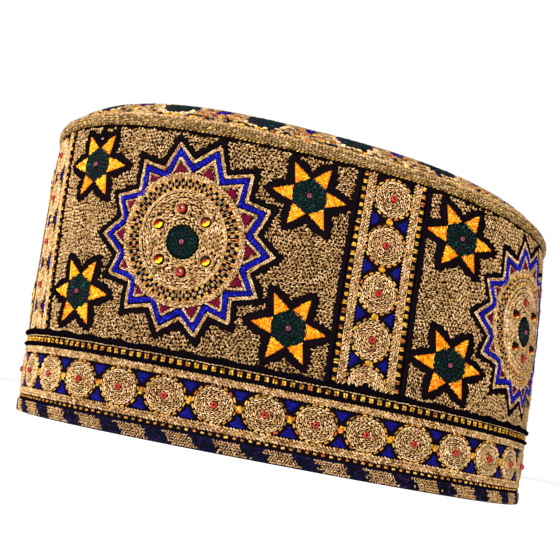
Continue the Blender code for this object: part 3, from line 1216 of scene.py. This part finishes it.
def rosette(half_width, half_height, dash_gap=0.4, dashes=19, rings=4, row=1.14):
    """Rings of chain stitch round a bead's place, and a ring of short amber dashes outside them."""
    rows = []
    for k in range(rings):
        inset = (k + 0.5) * row
        ring = ellipse((0, 0), half_width - inset, half_height - inset)
        rows.append(chain(ring, "pale_gold" if k == 0 else "gold", closed=True, pitch=1.2, **COARSE))
    outside = ellipse((0, 0), half_width + dash_gap, half_height + dash_gap, 90)
    x, y, turn = walk(outside, 2 * math.pi * ((half_width + half_height) / 2 + dash_gap) / dashes, True)
    rows.append(stitches(x, y, turn, "amber", length=1.3, width=0.6, tall=0.3))
    return np.concatenate(rows)


def knot():
    """A small knot: two short stitches that cross, and a smaller one either side."""
    return np.concatenate(
        [
            stitches([0.0], [0.0], [0.5], "amber", length=1.9, width=0.9, tall=0.5, lift=0.1),
            stitches([0.0], [0.0], [-0.6], "yellow", length=1.8, width=0.8, tall=0.45, lift=0.2),
            stitches([0.0, 0.0], [0.75, -0.75], [0.1, 0.1], "orange", length=1.1, width=0.6, tall=0.3),
        ]
    )


ROW_TRIANGLE = np.array([(-2.1, 4.9), (2.1, 4.9), (0.0, 2.1)])
COLUMN_TRIANGLE = np.array([(5.4, -2.05), (5.4, 2.05), (2.8, 0.0)])


def rosette_row_sheet():
    """The row of rosettes above the hem, with knots and blue triangles between them."""
    between = ROSETTE_ARCS + ROSETTE_PITCH / 2
    rows = [repeated(rosette(5.8, 5.0), ROSETTE_ARCS, ROSETTE_MIDDLE)]
    rows.append(repeated(knot(), between, ROSETTE_MIDDLE, RNG.normal(0, 0.3, ROSETTES)))
    for side in (-1, 1):
        triangle = satin(ROW_TRIANGLE * (1, side), 0.2 * side, "deep_blue", margin=0.0)
        rows.append(repeated(triangle, between, ROSETTE_MIDDLE))
    return np.concatenate(rows)


def band_sheet(band):
    """One upright band: rows of squares, light lines, braids, a column of rosettes, knots and triangles."""
    rows = []
    low, high = PANEL_FOOT + 0.3, TOP_LINE[0] - 0.2
    places = np.arange(low + 0.9, high - 0.3, BAND_SQUARE_PITCH)
    for side in (-1, 1):
        rows.append(square(side * BAND_SQUARES, places, np.pi / 2, "yellow", side=1.2, length=1.3, tall=0.3))
        x, y, turn = walk(upright(side * BAND_LIGHT), 1.2)
        rows.append(stitches(x, y, turn, "pale_gold", length=1.15, width=0.34))
        rows.append(braid(upright(side * BAND_BRAID), width=2.2))
    flower = rosette(5.45, 5.7)
    column = repeated(flower, np.zeros(len(BAND_ROSETTES)), np.array(BAND_ROSETTES))
    rows.append(column[(column[:, Y] > PANEL_FOOT + 0.3) & (column[:, Y] < TOP_LINE[0] - 0.1)])
    rows.append(repeated(knot(), np.zeros(len(BAND_KNOTS)), np.array(BAND_KNOTS), np.pi / 2))
    for side in (-1, 1):
        triangle = satin(COLUMN_TRIANGLE * (side, 1), 1.3, "deep_blue", margin=0.0)
        rows.append(repeated(triangle, np.zeros(len(BAND_KNOTS)), np.array(BAND_KNOTS)))
    return on_band(np.concatenate(rows), band)


def between_rings(first, second):
    """The half width and half height of an ellipse midway between two."""
    return [(first[k] + second[k]) / 2 for k in (0, 1)]


def stone_places():
    """Where the stones of a medallion sit, from the panel's origin."""
    angle = np.radians(list(STONES))
    reach = np.array(list(STONES.values()))
    return np.stack([MEDALLION[0] + reach * np.sin(angle), STONES_MIDDLE + reach * np.cos(angle)], axis=-1)


def triangle_paths():
    """Maroon triangles under the blue tips, apex outwards, standing on the braid ring."""
    paths = []
    centre = np.array(MEDALLION)
    for tip in BLUE_ZIGZAG[1::2]:
        axis = unit(tip - centre)
        from_ring = tip - RING_CENTRE
        half_sizes = (BRAID_RING[0] + RING_ROOM, BRAID_RING[1] + RING_ROOM)
        foot = RING_CENTRE + from_ring / np.hypot(*(from_ring / half_sizes))
        room = min(np.hypot(*(tip - foot)) - TRIANGLE_DROP, TRIANGLE_REACH)
        apex = foot + axis * room
        across = np.array([-axis[1], axis[0]]) * TRIANGLE_HALF
        paths.append(np.array([foot - across, apex, foot + across]))
    return paths


def ring_sheet():
    """Rings round the disc: amber squares in pairs with light strands between them, then the braid."""
    middle_a = between_rings(DISC, SQUARE_RING)
    angle = (np.arange(RING_GROUPS) + 0.5) * 2 * np.pi / RING_GROUPS
    rows = []
    for offset, side, length in ((-1.15, 1.1, 1.0), (1.2, 1.25, 1.15)):
        x = RING_CENTRE[0] + (middle_a[0] + offset) * np.sin(angle)
        y = RING_CENTRE[1] + (middle_a[1] + offset) * np.cos(angle)
        rows.append(square(x, y, -angle, "amber", side=side, strands=2, length=length, tall=0.3))
    for shift, thread in ((0.25, "cream"), (0.5, "gold"), (0.75, "cream")):
        swing = angle + shift * 2 * np.pi / RING_GROUPS
        x = RING_CENTRE[0] + middle_a[0] * np.sin(swing)
        y = RING_CENTRE[1] + middle_a[1] * np.cos(swing)
        rows.append(stitches(x, y, np.pi / 2 - swing, thread, length=1.05, width=0.4))
    middle_b = between_rings(SQUARE_RING, BRAID_RING)
    for offset, way in ((-0.45, 1), (0.45, -1)):
        ring = ellipse(RING_CENTRE, middle_b[0] + offset, middle_b[1] + offset, 120)
        rows.append(chain(ring, "gold", closed=True, apart=0.2, splay=0.4 * way, tall=0.32))
    edge = ellipse(RING_CENTRE, DISC[0] - 0.35, DISC[1] - 0.35, 120)
    rows.append(chain(edge, "pale_gold", closed=True, splay=0.2, tall=0.36))
    return np.concatenate(rows)


def disc_sheet():
    """The gold disc: rings of chain stitch, broken by a loop round every stone, and a green middle."""
    rows = []
    inner = GREEN_MIDDLE + 0.3
    count = round((DISC[0] - 0.9 - inner) / 1.3)
    for k in range(count):
        share = (k + 0.5) / count
        half_width = inner + (DISC[0] - 0.9 - inner) * share
        half_height = inner + (DISC[1] - 0.9 - inner) * share
        centre_y = MEDALLION[1] + (RING_CENTRE[1] - MEDALLION[1]) * share
        ring = ellipse((MEDALLION[0], centre_y), half_width, half_height)
        rows.append(chain(ring, "gold", closed=True, pitch=1.45, **DISC_CHAIN))
    disc = np.concatenate(rows)
    for stone in stone_places():
        disc = disc[np.hypot(disc[:, X] - stone[0], disc[:, Y] - stone[1]) > STONE_ROOM]
    loops = []
    for stone in stone_places():
        loop = ellipse(stone, STONE_LOOP, STONE_LOOP, 24)
        loops.append(chain(loop, "gold", closed=True, pitch=0.95, tall=0.42))
    return np.concatenate([disc, *loops, repeated(green_disc(GREEN_MIDDLE), *MEDALLION)])


def zigzag_sheet():
    """The medallion's edge: chain between black and blue, on the blue and inside it, and satin triangles."""
    between = (BLACK_ZIGZAG + BLUE_ZIGZAG) / 2
    centre = np.array(MEDALLION)
    reach = np.hypot(*(BLUE_ZIGZAG - centre).T)[:, None]
    within = centre + (BLUE_ZIGZAG - centre) * (1 - CHAIN_INSET / reach)
    inner = chain(within, "pale_gold", closed=True, apart=0.16, width=0.38, pitch=0.95)
    squeezed = (inner[:, Y] - RING_CENTRE[1]) * BRAID_RING[0] / BRAID_RING[1]
    far = np.hypot(inner[:, X] - RING_CENTRE[0], squeezed)
    rows = [
        chain(between, "gold", closed=True, apart=0.24, width=0.46, pitch=0.95),
        chain(BLUE_ZIGZAG, "blue", closed=True, apart=0.32, width=0.62, pitch=1.1, tall=0.3, lift=0.24),
        inner[far > BRAID_RING[0] + RING_ROOM],
    ]
    for path in triangle_paths():
        rows.append(satin(path, np.pi / 3, "maroon", length=0.8, along=0.7, width=0.4, lift=0.1, margin=0.06))
    return np.concatenate(rows)


def green_disc(radius):
    """Coarse green chain, wound from the edge of a disc to its middle."""
    return chain(
        spiral(radius, radius, 1.2),
        "green",
        pitch=1.3,
        apart=0.32,
        splay=0.42,
        length=1.35,
        width=0.5,
        tall=0.5,
        lift=0.15,
    )


def star_sheet():
    """One star: a green disc of coarse chain wound to its middle, and satin petals."""
    rows = [green_disc(STAR_DISC)]
    for angle in PETAL_TURNS:
        petal = star_petal(angle)
        turn = angle + np.pi / 2 + 0.3
        rows.append(satin(petal, turn, "orange", length=0.95, width=0.36, tall=0.34, lift=0.16, margin=0.22))
    return np.concatenate(rows)


def knit(low_x, high_x, low_y, high_y, thread, pitch=1.08):
    """Close cover stitch: pairs of strands on a staggered grid, turned by a slowly wandering direction."""
    columns = np.arange(low_x, high_x, pitch)
    rows = np.arange(low_y - pitch / 2, high_y + pitch / 2, pitch)
    x = columns[None, :] + (np.arange(rows.size)[:, None] % 2) * pitch / 2
    y = np.repeat(rows[:, None], columns.size, axis=1)
    x, y = x.ravel(), y.ravel()
    x = x + RNG.normal(0, 0.11, x.size)
    y = y + 0.4 * np.sin(x / 1.7 + y / 6.0) + RNG.normal(0, 0.11, y.size)
    within = (y > low_y) & (y < high_y)
    x, y = x[within], y[within]
    turn = 0.9 * np.sin(x / 5.3 + y / 9.1) + 0.9 * np.cos(y / 4.1 - x / 11.0) + RNG.normal(0, 0.33, x.size)
    pair = []
    for side in (1, -1):
        place = beside(x, y, turn, side * 0.23)
        pair.append(stitches(*place, turn + side * 0.5, thread, length=1.02, width=0.35, tall=0.27))
    return np.concatenate(pair)


def panel_fill(panel):
    """Gold cover stitch of one panel, kept clear of its lines, its stars and its medallion."""
    origin = panel * PANEL_PITCH
    left_end, right_end = origin - 86, origin + 22
    sheet = knit(left_end, right_end, PANEL_FOOT + 0.1, TOP_LINE[0] - 0.3, "fill_gold")
    x, y = sheet[:, X], sheet[:, Y]
    half_band = (BAND_FOOT_WIDTH / 2 + 0.45) * band_scale(y)
    left = band_middle(panel - 1, y) + half_band
    right = band_middle(panel, y) - half_band
    kept = (x > left) & (x < right) & (np.hypot(x - BUD[0], y - BUD[1]) > BUD_ROOM)
    line = BLACK_ZIGZAG + (origin, 0)
    kept &= ~inside(line, x, y) & (distance(line, x, y) > ZIGZAG_BLACK / 2 + EDGE_ROOM)
    for star_x, star_y, stretch in STARS.values():
        outline = shifted(STAR_OUTLINE, origin + PANEL_MIDDLE + star_x, star_y, stretch)
        kept &= ~inside(outline, x, y)
        kept &= distance(outline, x, y) > EDGE_ROOM
    return sheet[kept]


def medallion_fill():
    """Gold stitches between the braid ring and the chain inside the blue zigzag, clear of the triangles."""
    centre = np.array(MEDALLION)
    reach = np.hypot(*(BLUE_ZIGZAG - centre).T)[:, None]
    within = centre + (BLUE_ZIGZAG - centre) * (1 - FILL_INSET / reach)
    sheet = knit(centre[0] - 28, centre[0] + 28, centre[1] - 28, centre[1] + 30, "fill_gold")
    x, y = sheet[:, X], sheet[:, Y]
    half_width, half_height = (half + RING_ROOM for half in BRAID_RING)
    ring = np.hypot((x - RING_CENTRE[0]) / half_width, (y - RING_CENTRE[1]) / half_height)
    kept = inside(within, x, y) & (ring > 1)
    for path in triangle_paths():
        kept &= ~inside(path, x, y) & (distance(path, x, y) > EDGE_ROOM)
    return sheet[kept]


def hem_sheet():
    """Close short stitches on the hem: gold in forty slanting bars with ragged ends, navy between them."""
    pitch, row = 0.78, 0.72
    slant, start, gold_share = 0.80, 2.0, 0.56
    count = round(PERIMETER / pitch)
    heights = np.arange(0.62, 4.2, row)
    arcs = np.arange(count)[None, :] * PERIMETER / count + (np.arange(heights.size)[:, None] % 2) * pitch / 2
    y = np.repeat(heights[:, None], count, axis=1)
    x, y = arcs.ravel(), y.ravel()
    slanted = x + slant * y - start + RNG.normal(0, 0.55, x.size)
    share = np.mod(slanted / ROSETTE_PITCH, 1)
    turn = 1.0 + RNG.normal(0, 1, x.size) * np.where(share < gold_share, 0.7, 0.35)
    sheet = stitches(x, y, turn, "navy", length=0.86, width=0.42, tall=0.3)
    sheet[share < gold_share, THREAD] = THREAD_NAMES.index("hem_gold")
    return sheet


def roll_sheet():
    """Rows of gold chain round the roll, with specks of yellow, red and brown along its lower edge.
    The rows over its top are in lighter gold, painted light, and the rest in the roll's darker gold, painted
    shade.
    """
    rows = []
    reach = np.pi * ROLL_HEIGHT / 2
    for v in np.arange(2.1, reach + 0.8, 0.95):
        # Painted light and shade: lighter gold over the top of the roll, the darker roll gold elsewhere
        painted_light_and_shade = "gold" if 4.4 < v < 6.8 else "shaded_roll_gold"
        rows.append(level_chain(v, painted_light_and_shade, pitch=0.98, width=0.38, tall=0.32))
    rows.append(level_row(2.55, "edge_gold", 2.9, turn=0.2, length=1.0, width=0.5, tall=0.36))
    rows.append(level_row(0.95, "edge_gold", 1.3, turn=0.25, length=1.05, width=0.5, tall=0.3))
    rows.append(level_row(1.45, "shaded_roll_gold", 1.1, turn=0.4, length=1.0, width=0.4, tall=0.3))
    return np.concatenate(rows)


def crown_thread(u, v):
    """The thread of each stitch of the crown: rings of green discs and blue lozenges, gold with specks."""
    code = THREAD_NAMES.index
    codes = np.full(u.size, code("crown_gold"))
    codes[RNG.random(u.size) < 0.04] = code("yellow")
    codes[RNG.random(u.size) < 0.02] = code("red")
    codes[RNG.random(u.size) < 0.045] = code("navy")
    for middle, phase in CROWN_RINGS:
        pitch = PERIMETER / CROWN_MOTIFS
        size = float(crown_share(middle)) * (1 + FLARE)
        x = (np.mod(u / pitch + phase, 1) - 0.5) * pitch * size
        y = v - middle
        reach = np.hypot(x, y)
        aside = pitch * size / 2 - np.abs(x)
        lozenge = aside / LOZENGE_HALF_WIDTH + np.abs(y) / LOZENGE_HALF_HEIGHT
        ring = np.abs(y) < CROWN_RING_HALF
        halo = (reach > CROWN_DISC + CROWN_RIM) & (reach < CROWN_DISC + CROWN_HALO)
        codes[ring & halo] = code("pale_gold")
        arms = ring & (np.abs(aside - np.abs(y) * 0.55 - 0.6) < 0.6) & (np.abs(y) > 2.6)
        codes[arms & (RNG.random(u.size) < 0.6)] = code("red")
        codes[(lozenge < 1.4) & (RNG.random(u.size) < 0.7)] = code("yellow")
        codes[lozenge < 1.0] = code("deep_blue")
        codes[lozenge < 0.45] = code("purple")
        codes[reach < CROWN_DISC + CROWN_RIM] = code("navy")
        codes[reach < CROWN_DISC] = code("green")
    codes[(v < 1.6) & (RNG.random(u.size) < 0.25)] = code("yellow")
    codes[(v < 2.4) & (RNG.random(u.size) < 0.22)] = code("navy")
    return codes


def crown_sheet(row=1.5, pitch=1.6):
    """Rings of chain stitch from the roll to the middle, every ring with as many links as it has room for."""
    rows = []
    for v in np.arange(0.7, CROWN_REACH - 1.0, row):
        share = float(crown_share(v)) * (1 + FLARE)
        count = max(6, round(PERIMETER * share / pitch))
        arcs = (np.arange(count) + RNG.uniform()) * PERIMETER / count
        for side in (1, -1):
            places = np.full(count, v + side * 0.36)
            rows.append(stitches(arcs, places, side * SPLAY, "gold", length=1.75, width=0.74, tall=0.4))
    sheet = np.concatenate(rows)
    sheet[:, THREAD] = crown_thread(sheet[:, X], sheet[:, Y])
    return sheet


# Beads


def bead_form(radius, tall, sides=10):
    """A turned bead with a small hole: (radius, height) from the hole's foot over the top to the back."""
    profile = np.array([(0.22, 0.35), (0.34, 0.84), (0.64, 1.0), (0.92, 0.7), (1.0, 0.3), (0.8, 0.0)])
    angle = np.arange(sides) * 2 * np.pi / sides
    x = radius * profile[:, 0, None] * np.cos(angle)
    y = radius * profile[:, 0, None] * np.sin(angle)
    z = np.repeat(tall * profile[:, 1, None], sides, axis=1)
    points = np.stack([x, y, z], axis=-1).reshape(-1, 3)
    rows = len(profile)
    quads = grid_faces(rows, sides, False, True)
    hole = np.arange(sides)
    back = (rows - 1) * sides + np.arange(sides)[::-1]
    return points, quads, hole[None, :], back[None, :]


def bead_piece(name, surface, places, radius, tall, materials, lift=0.25):
    """Beads at several places of a surface, as one piece; the second material, painted shade, is inside the
    holes.
    """
    points, quads, hole, back = bead_form(radius, tall)
    spots = np.asarray(places, float)
    place, along, rise, out = frames(surface, spots[:, 0], spots[:, 1])
    all_points = (
        (place + out * lift)[:, None]
        + along[:, None] * points[None, :, 0, None]
        + rise[:, None] * points[None, :, 1, None]
        + out[:, None] * points[None, :, 2, None]
    )
    offset = np.arange(len(spots))[:, None, None] * len(points)
    groups = [
        (quads[None] + offset).reshape(-1, 4),
        np.concatenate([hole[None] + offset, back[None] + offset]).reshape(-1, hole.shape[1]),
    ]
    flat = all_points.reshape(-1, 3)
    groups[:1] = outward(flat, groups[:1])
    obj = make_object(name, flat, groups)
    set_materials(obj, *materials)
    sides = hole.shape[1]
    in_hole = [(group % len(points) < 2 * sides).all(axis=1) for group in groups]
    set_material_index(obj, np.concatenate(in_hole))
    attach(obj, "root")
    return obj


# Stage


def make_camera():
    """The photograph's view: from in front and low, looking up a little, and rolled."""
    distance_back, height = 332.464, 10.423
    yaw, pitch, tilt = -0.021, 0.168, 0.187
    focal_pixels, frame_pixels, sensor = 855.867, 560, 36.0
    forward = Vector((math.sin(yaw) * math.cos(pitch), math.cos(yaw) * math.cos(pitch), math.sin(pitch)))
    right = Vector((math.cos(yaw), -math.sin(yaw), 0))
    up = right.cross(forward)
    rolled_right = math.cos(tilt) * right + math.sin(tilt) * up
    rolled_up = -math.sin(tilt) * right + math.cos(tilt) * up
    camera_data = bpy.data.cameras.new("photo_view")
    camera_data.sensor_width = sensor
    camera_data.lens = focal_pixels * sensor / frame_pixels
    camera_data.clip_start = 0.01
    camera = bpy.data.objects.new("photo_view", camera_data)
    axes = Matrix((rolled_right, rolled_up, -forward)).transposed().to_4x4()
    axes.translation = Vector((RIM_SHIFT * MM, -distance_back * MM, height * MM))
    camera.matrix_world = axes
    bpy.context.scene.collection.objects.link(camera)
    bpy.context.scene.camera = camera


def add_light(name, place, target, size, power):
    data = bpy.data.lights.new(name, "AREA")
    data.size = size
    data.energy = power
    light = bpy.data.objects.new(name, data)
    light.location = place
    light.rotation_mode = "QUATERNION"
    light.rotation_quaternion = (Vector(target) - Vector(place)).to_track_quat("-Z", "Y")
    bpy.context.scene.collection.objects.link(light)


def make_stage():
    """A pale floor, a surround that is white to look at and dimmer as a light, and two soft lamps."""
    bpy.ops.mesh.primitive_plane_add(size=8, location=(0, 0, 0))
    floor = bpy.context.object
    floor.name = "studio_floor"
    material, nodes, links, shader = new_material("studio_floor", 0.9, Emission_Strength=FLOOR_GLOW)
    shader.inputs["Base Color"].default_value = (0.93, 0.93, 0.93, 1)
    shader.inputs["Emission Color"].default_value = (1, 1, 1, 1)
    shader.inputs["Specular IOR Level"].default_value = 0.1
    floor.data.materials.append(material)
    world = bpy.data.worlds.new("studio")
    world.use_nodes = True
    nodes = world.node_tree.nodes
    links = world.node_tree.links
    lighting = nodes["Background"]
    lighting.inputs["Color"].default_value = (1, 1, 1, 1)
    lighting.inputs["Strength"].default_value = SURROUND_LIGHT
    seen = add_node(nodes, "ShaderNodeBackground", Color=(1, 1, 1, 1), Strength=1.0)
    ray = add_node(nodes, "ShaderNodeLightPath")
    choice = add_node(nodes, "ShaderNodeMixShader")
    links.new(ray.outputs["Is Camera Ray"], choice.inputs[0])
    links.new(lighting.outputs["Background"], choice.inputs[1])
    links.new(seen.outputs["Background"], choice.inputs[2])
    links.new(choice.outputs["Shader"], nodes["World Output"].inputs["Surface"])
    bpy.context.scene.world = world
    add_light("key", (-0.3, -0.82, 0.28), (0, 0, 0.05), 0.3, 9.0)
    add_light("back", (0.5, 1.0, 0.7), (0, 0, 0.05), 0.5, 9.0)
    bpy.context.scene.view_settings.view_transform = "Standard"


# The pieces


def make_cloths(cloths):
    """Cloth and cord in place of the wall, the hem, the roll, the crown and the two cords."""
    ground = cloths["dark_ground_cloth"]
    cotton = cloths["cotton_reverse"]
    cord_thread = cloth_material("cord_thread", (12, 8, 14), (6, 4, 8), 0.6, PLY)
    make_wall_cloth(ground, cotton)
    make_hem_cloth(cloths["navy_cloth"])
    make_roll_core(ground)
    make_crown_cloth(ground, cotton)
    make_cord("upper_cord_thread", "upper_cord", *UPPER_CORD, 1.4, cord_thread)
    make_cord("lower_cord_thread", "lower_cord", *LOWER_CORD, 1.25, cord_thread)


def make_black_lines(material):
    """Black lines: above the hem, along the top and the bands, round the medallions, and one small loop."""
    lines = [ring_strip(wall, *HEM_LINE, 0.25), ring_strip(wall, *TOP_LINE, 0.35)]
    for band in range(PANELS):
        for side in (-1, 1):
            path = on_band(upright(side * BAND_FOOT_WIDTH / 2 - side * 0.3, PANEL_FOOT - 0.6), band)
            lines.append(strip(wall, path, BAND_LINE, 0.4))
    for origin in ORIGINS:
        lines.append(strip(wall, BLACK_ZIGZAG + (origin, 0), ZIGZAG_BLACK, 0.4, closed=True))
    lines.append(strip(wall, ellipse(BUD, BUD_RADIUS, BUD_RADIUS, 12), 0.75, 0.4, closed=True, step=1.0))
    solid_piece("black_lines", lines, material)


def make_blue_grounds(material):
    """Blue lines round the medallions, and the triangles between the rosettes of the row and of the bands."""
    blue = [strip(wall, BLUE_ZIGZAG + (origin, 0), ZIGZAG_BLUE, 0.38, closed=True) for origin in ORIGINS]
    triangles = []
    for arc in ROSETTE_ARCS + ROSETTE_PITCH / 2:
        for side in (-1, 1):
            triangles.append(ROW_TRIANGLE * (1, side) + (arc, ROSETTE_MIDDLE))
    for band in range(PANELS):
        for height in BAND_KNOTS:
            for side in (-1, 1):
                triangles.append(on_band(COLUMN_TRIANGLE * (side, 1) + (0, height), band))
    blue += [patch(wall, triangle, base=-0.06, rings=(1.0, 0.8)) for triangle in triangles]
    solid_piece("blue_grounds", blue, material)


def make_maroon_grounds(material):
    wedges = []
    for path in triangle_paths():
        for origin in ORIGINS:
            wedges.append(patch(wall, path + (origin, 0), base=0.0, tall=0.14, rings=(1.0, 0.8)))
    solid_piece("maroon_grounds", wedges, material)


def make_black_grounds(material):
    """The black stars, and the dark cloth that shows between the stitches of the rows, bands and rings."""
    black = []
    for x, y, stretch in STAR_PLACES:
        outline = shifted(STAR_OUTLINE, x, y, stretch)
        black.append(patch(wall, outline, centre=(x, y), tall=0.3, rings=(1.0, 0.92, 0.5)))
    for (low, high), margin in ((ROSETTE_ROW, 0.6), (SQUARE_ROW, 1.0), (DOT_ROW, 0.3)):
        black.append(ring_strip(wall, low - margin, high + margin, *UNDERLAY))
    for origin in ORIGINS:
        ring = ellipse((RING_CENTRE[0] + origin, RING_CENTRE[1]), *between_rings(DISC, SQUARE_RING), 96)
        black.append(strip(wall, ring, 3.9, *UNDERLAY, closed=True))
    for band in range(PANELS):
        for side in (-1, 1):
            black.append(strip(wall, on_band(upright(side * 8.8), band), 3.2, *UNDERLAY))
        black.append(strip(wall, on_band(upright(0.0), band), 11.6, *UNDERLAY))
    solid_piece("black_grounds", black, material)


def make_petal_grounds(material):
    petals = []
    for x, y, stretch in STAR_PLACES:
        for angle in PETAL_TURNS:
            petal = shifted(star_petal(angle), x, y, stretch)
            petals.append(patch(wall, petal, base=0.05, tall=0.17, rings=(1.0, 0.85)))
    solid_piece("petal_grounds", petals, material)


def make_green_grounds(material):
    """Under the green discs of the stars and of the medallions' middles."""
    outlines = [ellipse((x, y), STAR_DISC * stretch, STAR_DISC, 28) for x, y, stretch in STAR_PLACES]
    for origin in ORIGINS:
        outlines.append(ellipse((MEDALLION[0] + origin, MEDALLION[1]), GREEN_MIDDLE, GREEN_MIDDLE, 28))
    discs = [patch(wall, outline, base=0.0, tall=0.26, rings=(1.0, 0.92)) for outline in outlines]
    solid_piece("green_grounds", discs, material)


def make_rosette_grounds(material):
    outlines = [ellipse((arc, ROSETTE_MIDDLE), 5.6, 4.8, 24) for arc in ROSETTE_ARCS]
    for band in range(PANELS):
        for height in BAND_ROSETTES[:-1]:
            outlines.append(on_band(ellipse((0, height), 5.25, 5.5, 24), band))
    mounds = [patch(wall, outline, base=-0.05, tall=0.22, rings=(1.0, 0.85)) for outline in outlines]
    solid_piece("rosette_grounds", mounds, material)


def star_stitches():
    """All the stars, and the light stitch over the small loop of one of them."""
    stars = repeated(star_sheet(), STAR_PLACES[:, 0], STAR_PLACES[:, 1], 0.0, STAR_PLACES[:, 2])
    over_bud = stitches([BUD[0]], [BUD[1] - 1.6], 0.0, "cream", length=0.9, width=0.7, tall=0.3, lift=0.3)
    return np.concatenate([stars, over_bud])


def row_sheet():
    """The narrow rows round the wall: two braids, the squares between the cords, a light line and dots."""
    count = round(PERIMETER / SQUARE_PITCH)
    arcs = np.arange(count) * PERIMETER / count
    half_square = {"strands": 2, "length": 0.74, "tall": 0.3}
    return np.concatenate(
        [
            braid(level(sum(LOW_BRAID) / 2), width=2.1),
            braid(level(sum(HIGH_BRAID) / 2), width=2.0),
            square(arcs, sum(SQUARE_ROW) / 2 - 0.37, 0.0, "yellow", **half_square),
            square(arcs, sum(SQUARE_ROW) / 2 + 0.37, 0.0, "yellow", **half_square),
            level_row(LIGHT_ROW, "pale_gold", 1.2, length=1.1, width=0.32),
            level_row(sum(DOT_ROW) / 2, "amber", DOT_PITCH, length=1.1, width=0.85, tall=0.3),
        ]
    )


def make_stitches():
    """Every stitched piece; their order is also the order of the random draws."""
    thread = thread_material("cotton_thread", 0.6)
    silk = thread_material("silk_thread", 0.5)
    stitch_piece("rosette_stitches", wall, rosette_row_sheet(), thread, "wall_embroidery")
    bands = np.concatenate([band_sheet(band) for band in range(PANELS)])
    stitch_piece("band_stitches", wall, bands, thread, "wall_embroidery")
    medallion = np.concatenate([disc_sheet(), ring_sheet(), medallion_fill()])
    stitch_piece("medallion_stitches", wall, repeated(medallion, ORIGINS, 0.0), thread, "wall_embroidery")
    stitch_piece("zigzag_stitches", wall, repeated(zigzag_sheet(), ORIGINS, 0.0), silk, "wall_embroidery")
    stitch_piece("star_stitches", wall, star_stitches(), silk, "wall_embroidery")
    stitch_piece("row_stitches", wall, row_sheet(), thread, "wall_embroidery")
    fills = [panel_fill(panel) for panel in range(PANELS)]
    stitch_piece("panel_stitches_a", wall, np.concatenate(fills[:3]), thread, "wall_embroidery")
    stitch_piece("panel_stitches_b", wall, np.concatenate(fills[3:]), thread, "wall_embroidery")
    stitch_piece("hem_stitches", hem, hem_sheet(), thread, "hem_embroidery")
    stitch_piece("roll_stitches", roll, roll_sheet(), thread, "roll_embroidery")
    stitch_piece("crown_stitches", crown, crown_sheet(), thread, "crown_embroidery")


def make_beads():
    """A red bead in every rosette, and a pink one in every green disc."""
    glass = {name: bead_material(name, *looks) for name, looks in BEADS.items()}
    red = (glass["red_bead"], glass["bead_hole_shade"])
    pink = (glass["pink_bead"], glass["bead_hole_shade"])
    red_places = [(arc, ROSETTE_MIDDLE) for arc in ROSETTE_ARCS]
    for band in range(PANELS):
        for height in BAND_ROSETTES[:-1]:
            red_places.append((float(band_middle(band, height)), height))
    bead_piece("red_seed_beads", wall, red_places, 1.0, 1.05, red)
    pink_places = [(place[0], place[1]) for place in STAR_PLACES]
    pink_places += [(MEDALLION[0] + origin, MEDALLION[1]) for origin in ORIGINS]
    bead_piece("pink_seed_beads", wall, pink_places, 0.78, 0.8, pink, lift=0.3)


def polish_stones(nodes):
    """The stones' own materials: cabochons at the top and bottom of each ring, cut stones between them."""
    for name, node in nodes.items():
        if name.startswith("stone_"):
            corners = np.array(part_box(name))
            middle = corners.mean(axis=0)
            reach = float((corners[1] - corners[0])[2] / 2)
            if name.endswith(("_top", "_bottom")):
                material = stone_material(name + "_glass", middle, reach, CABOCHON_STEPS)
            else:
                material = stone_material(name + "_glass", middle, reach, AMBER_SHADE_TO_LIGHT, facets=0.42)
            node.data.materials.clear()
            node.data.materials.append(material)


def main():
    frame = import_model()
    make_camera()
    cloths = {name: cloth_material(name, *looks) for name, looks in CLOTHS.items()}
    make_cloths(cloths)
    make_black_lines(cloths["black_ground"])
    make_blue_grounds(cloths["blue_ground"])
    make_maroon_grounds(cloths["maroon_ground"])
    make_black_grounds(cloths["black_ground"])
    make_petal_grounds(cloths["orange_ground"])
    make_green_grounds(cloths["green_ground"])
    make_rosette_grounds(cloths["dark_ground_cloth"])
    make_stitches()
    make_beads()
    polish_stones(frame["nodes"])
    make_stage()


main()
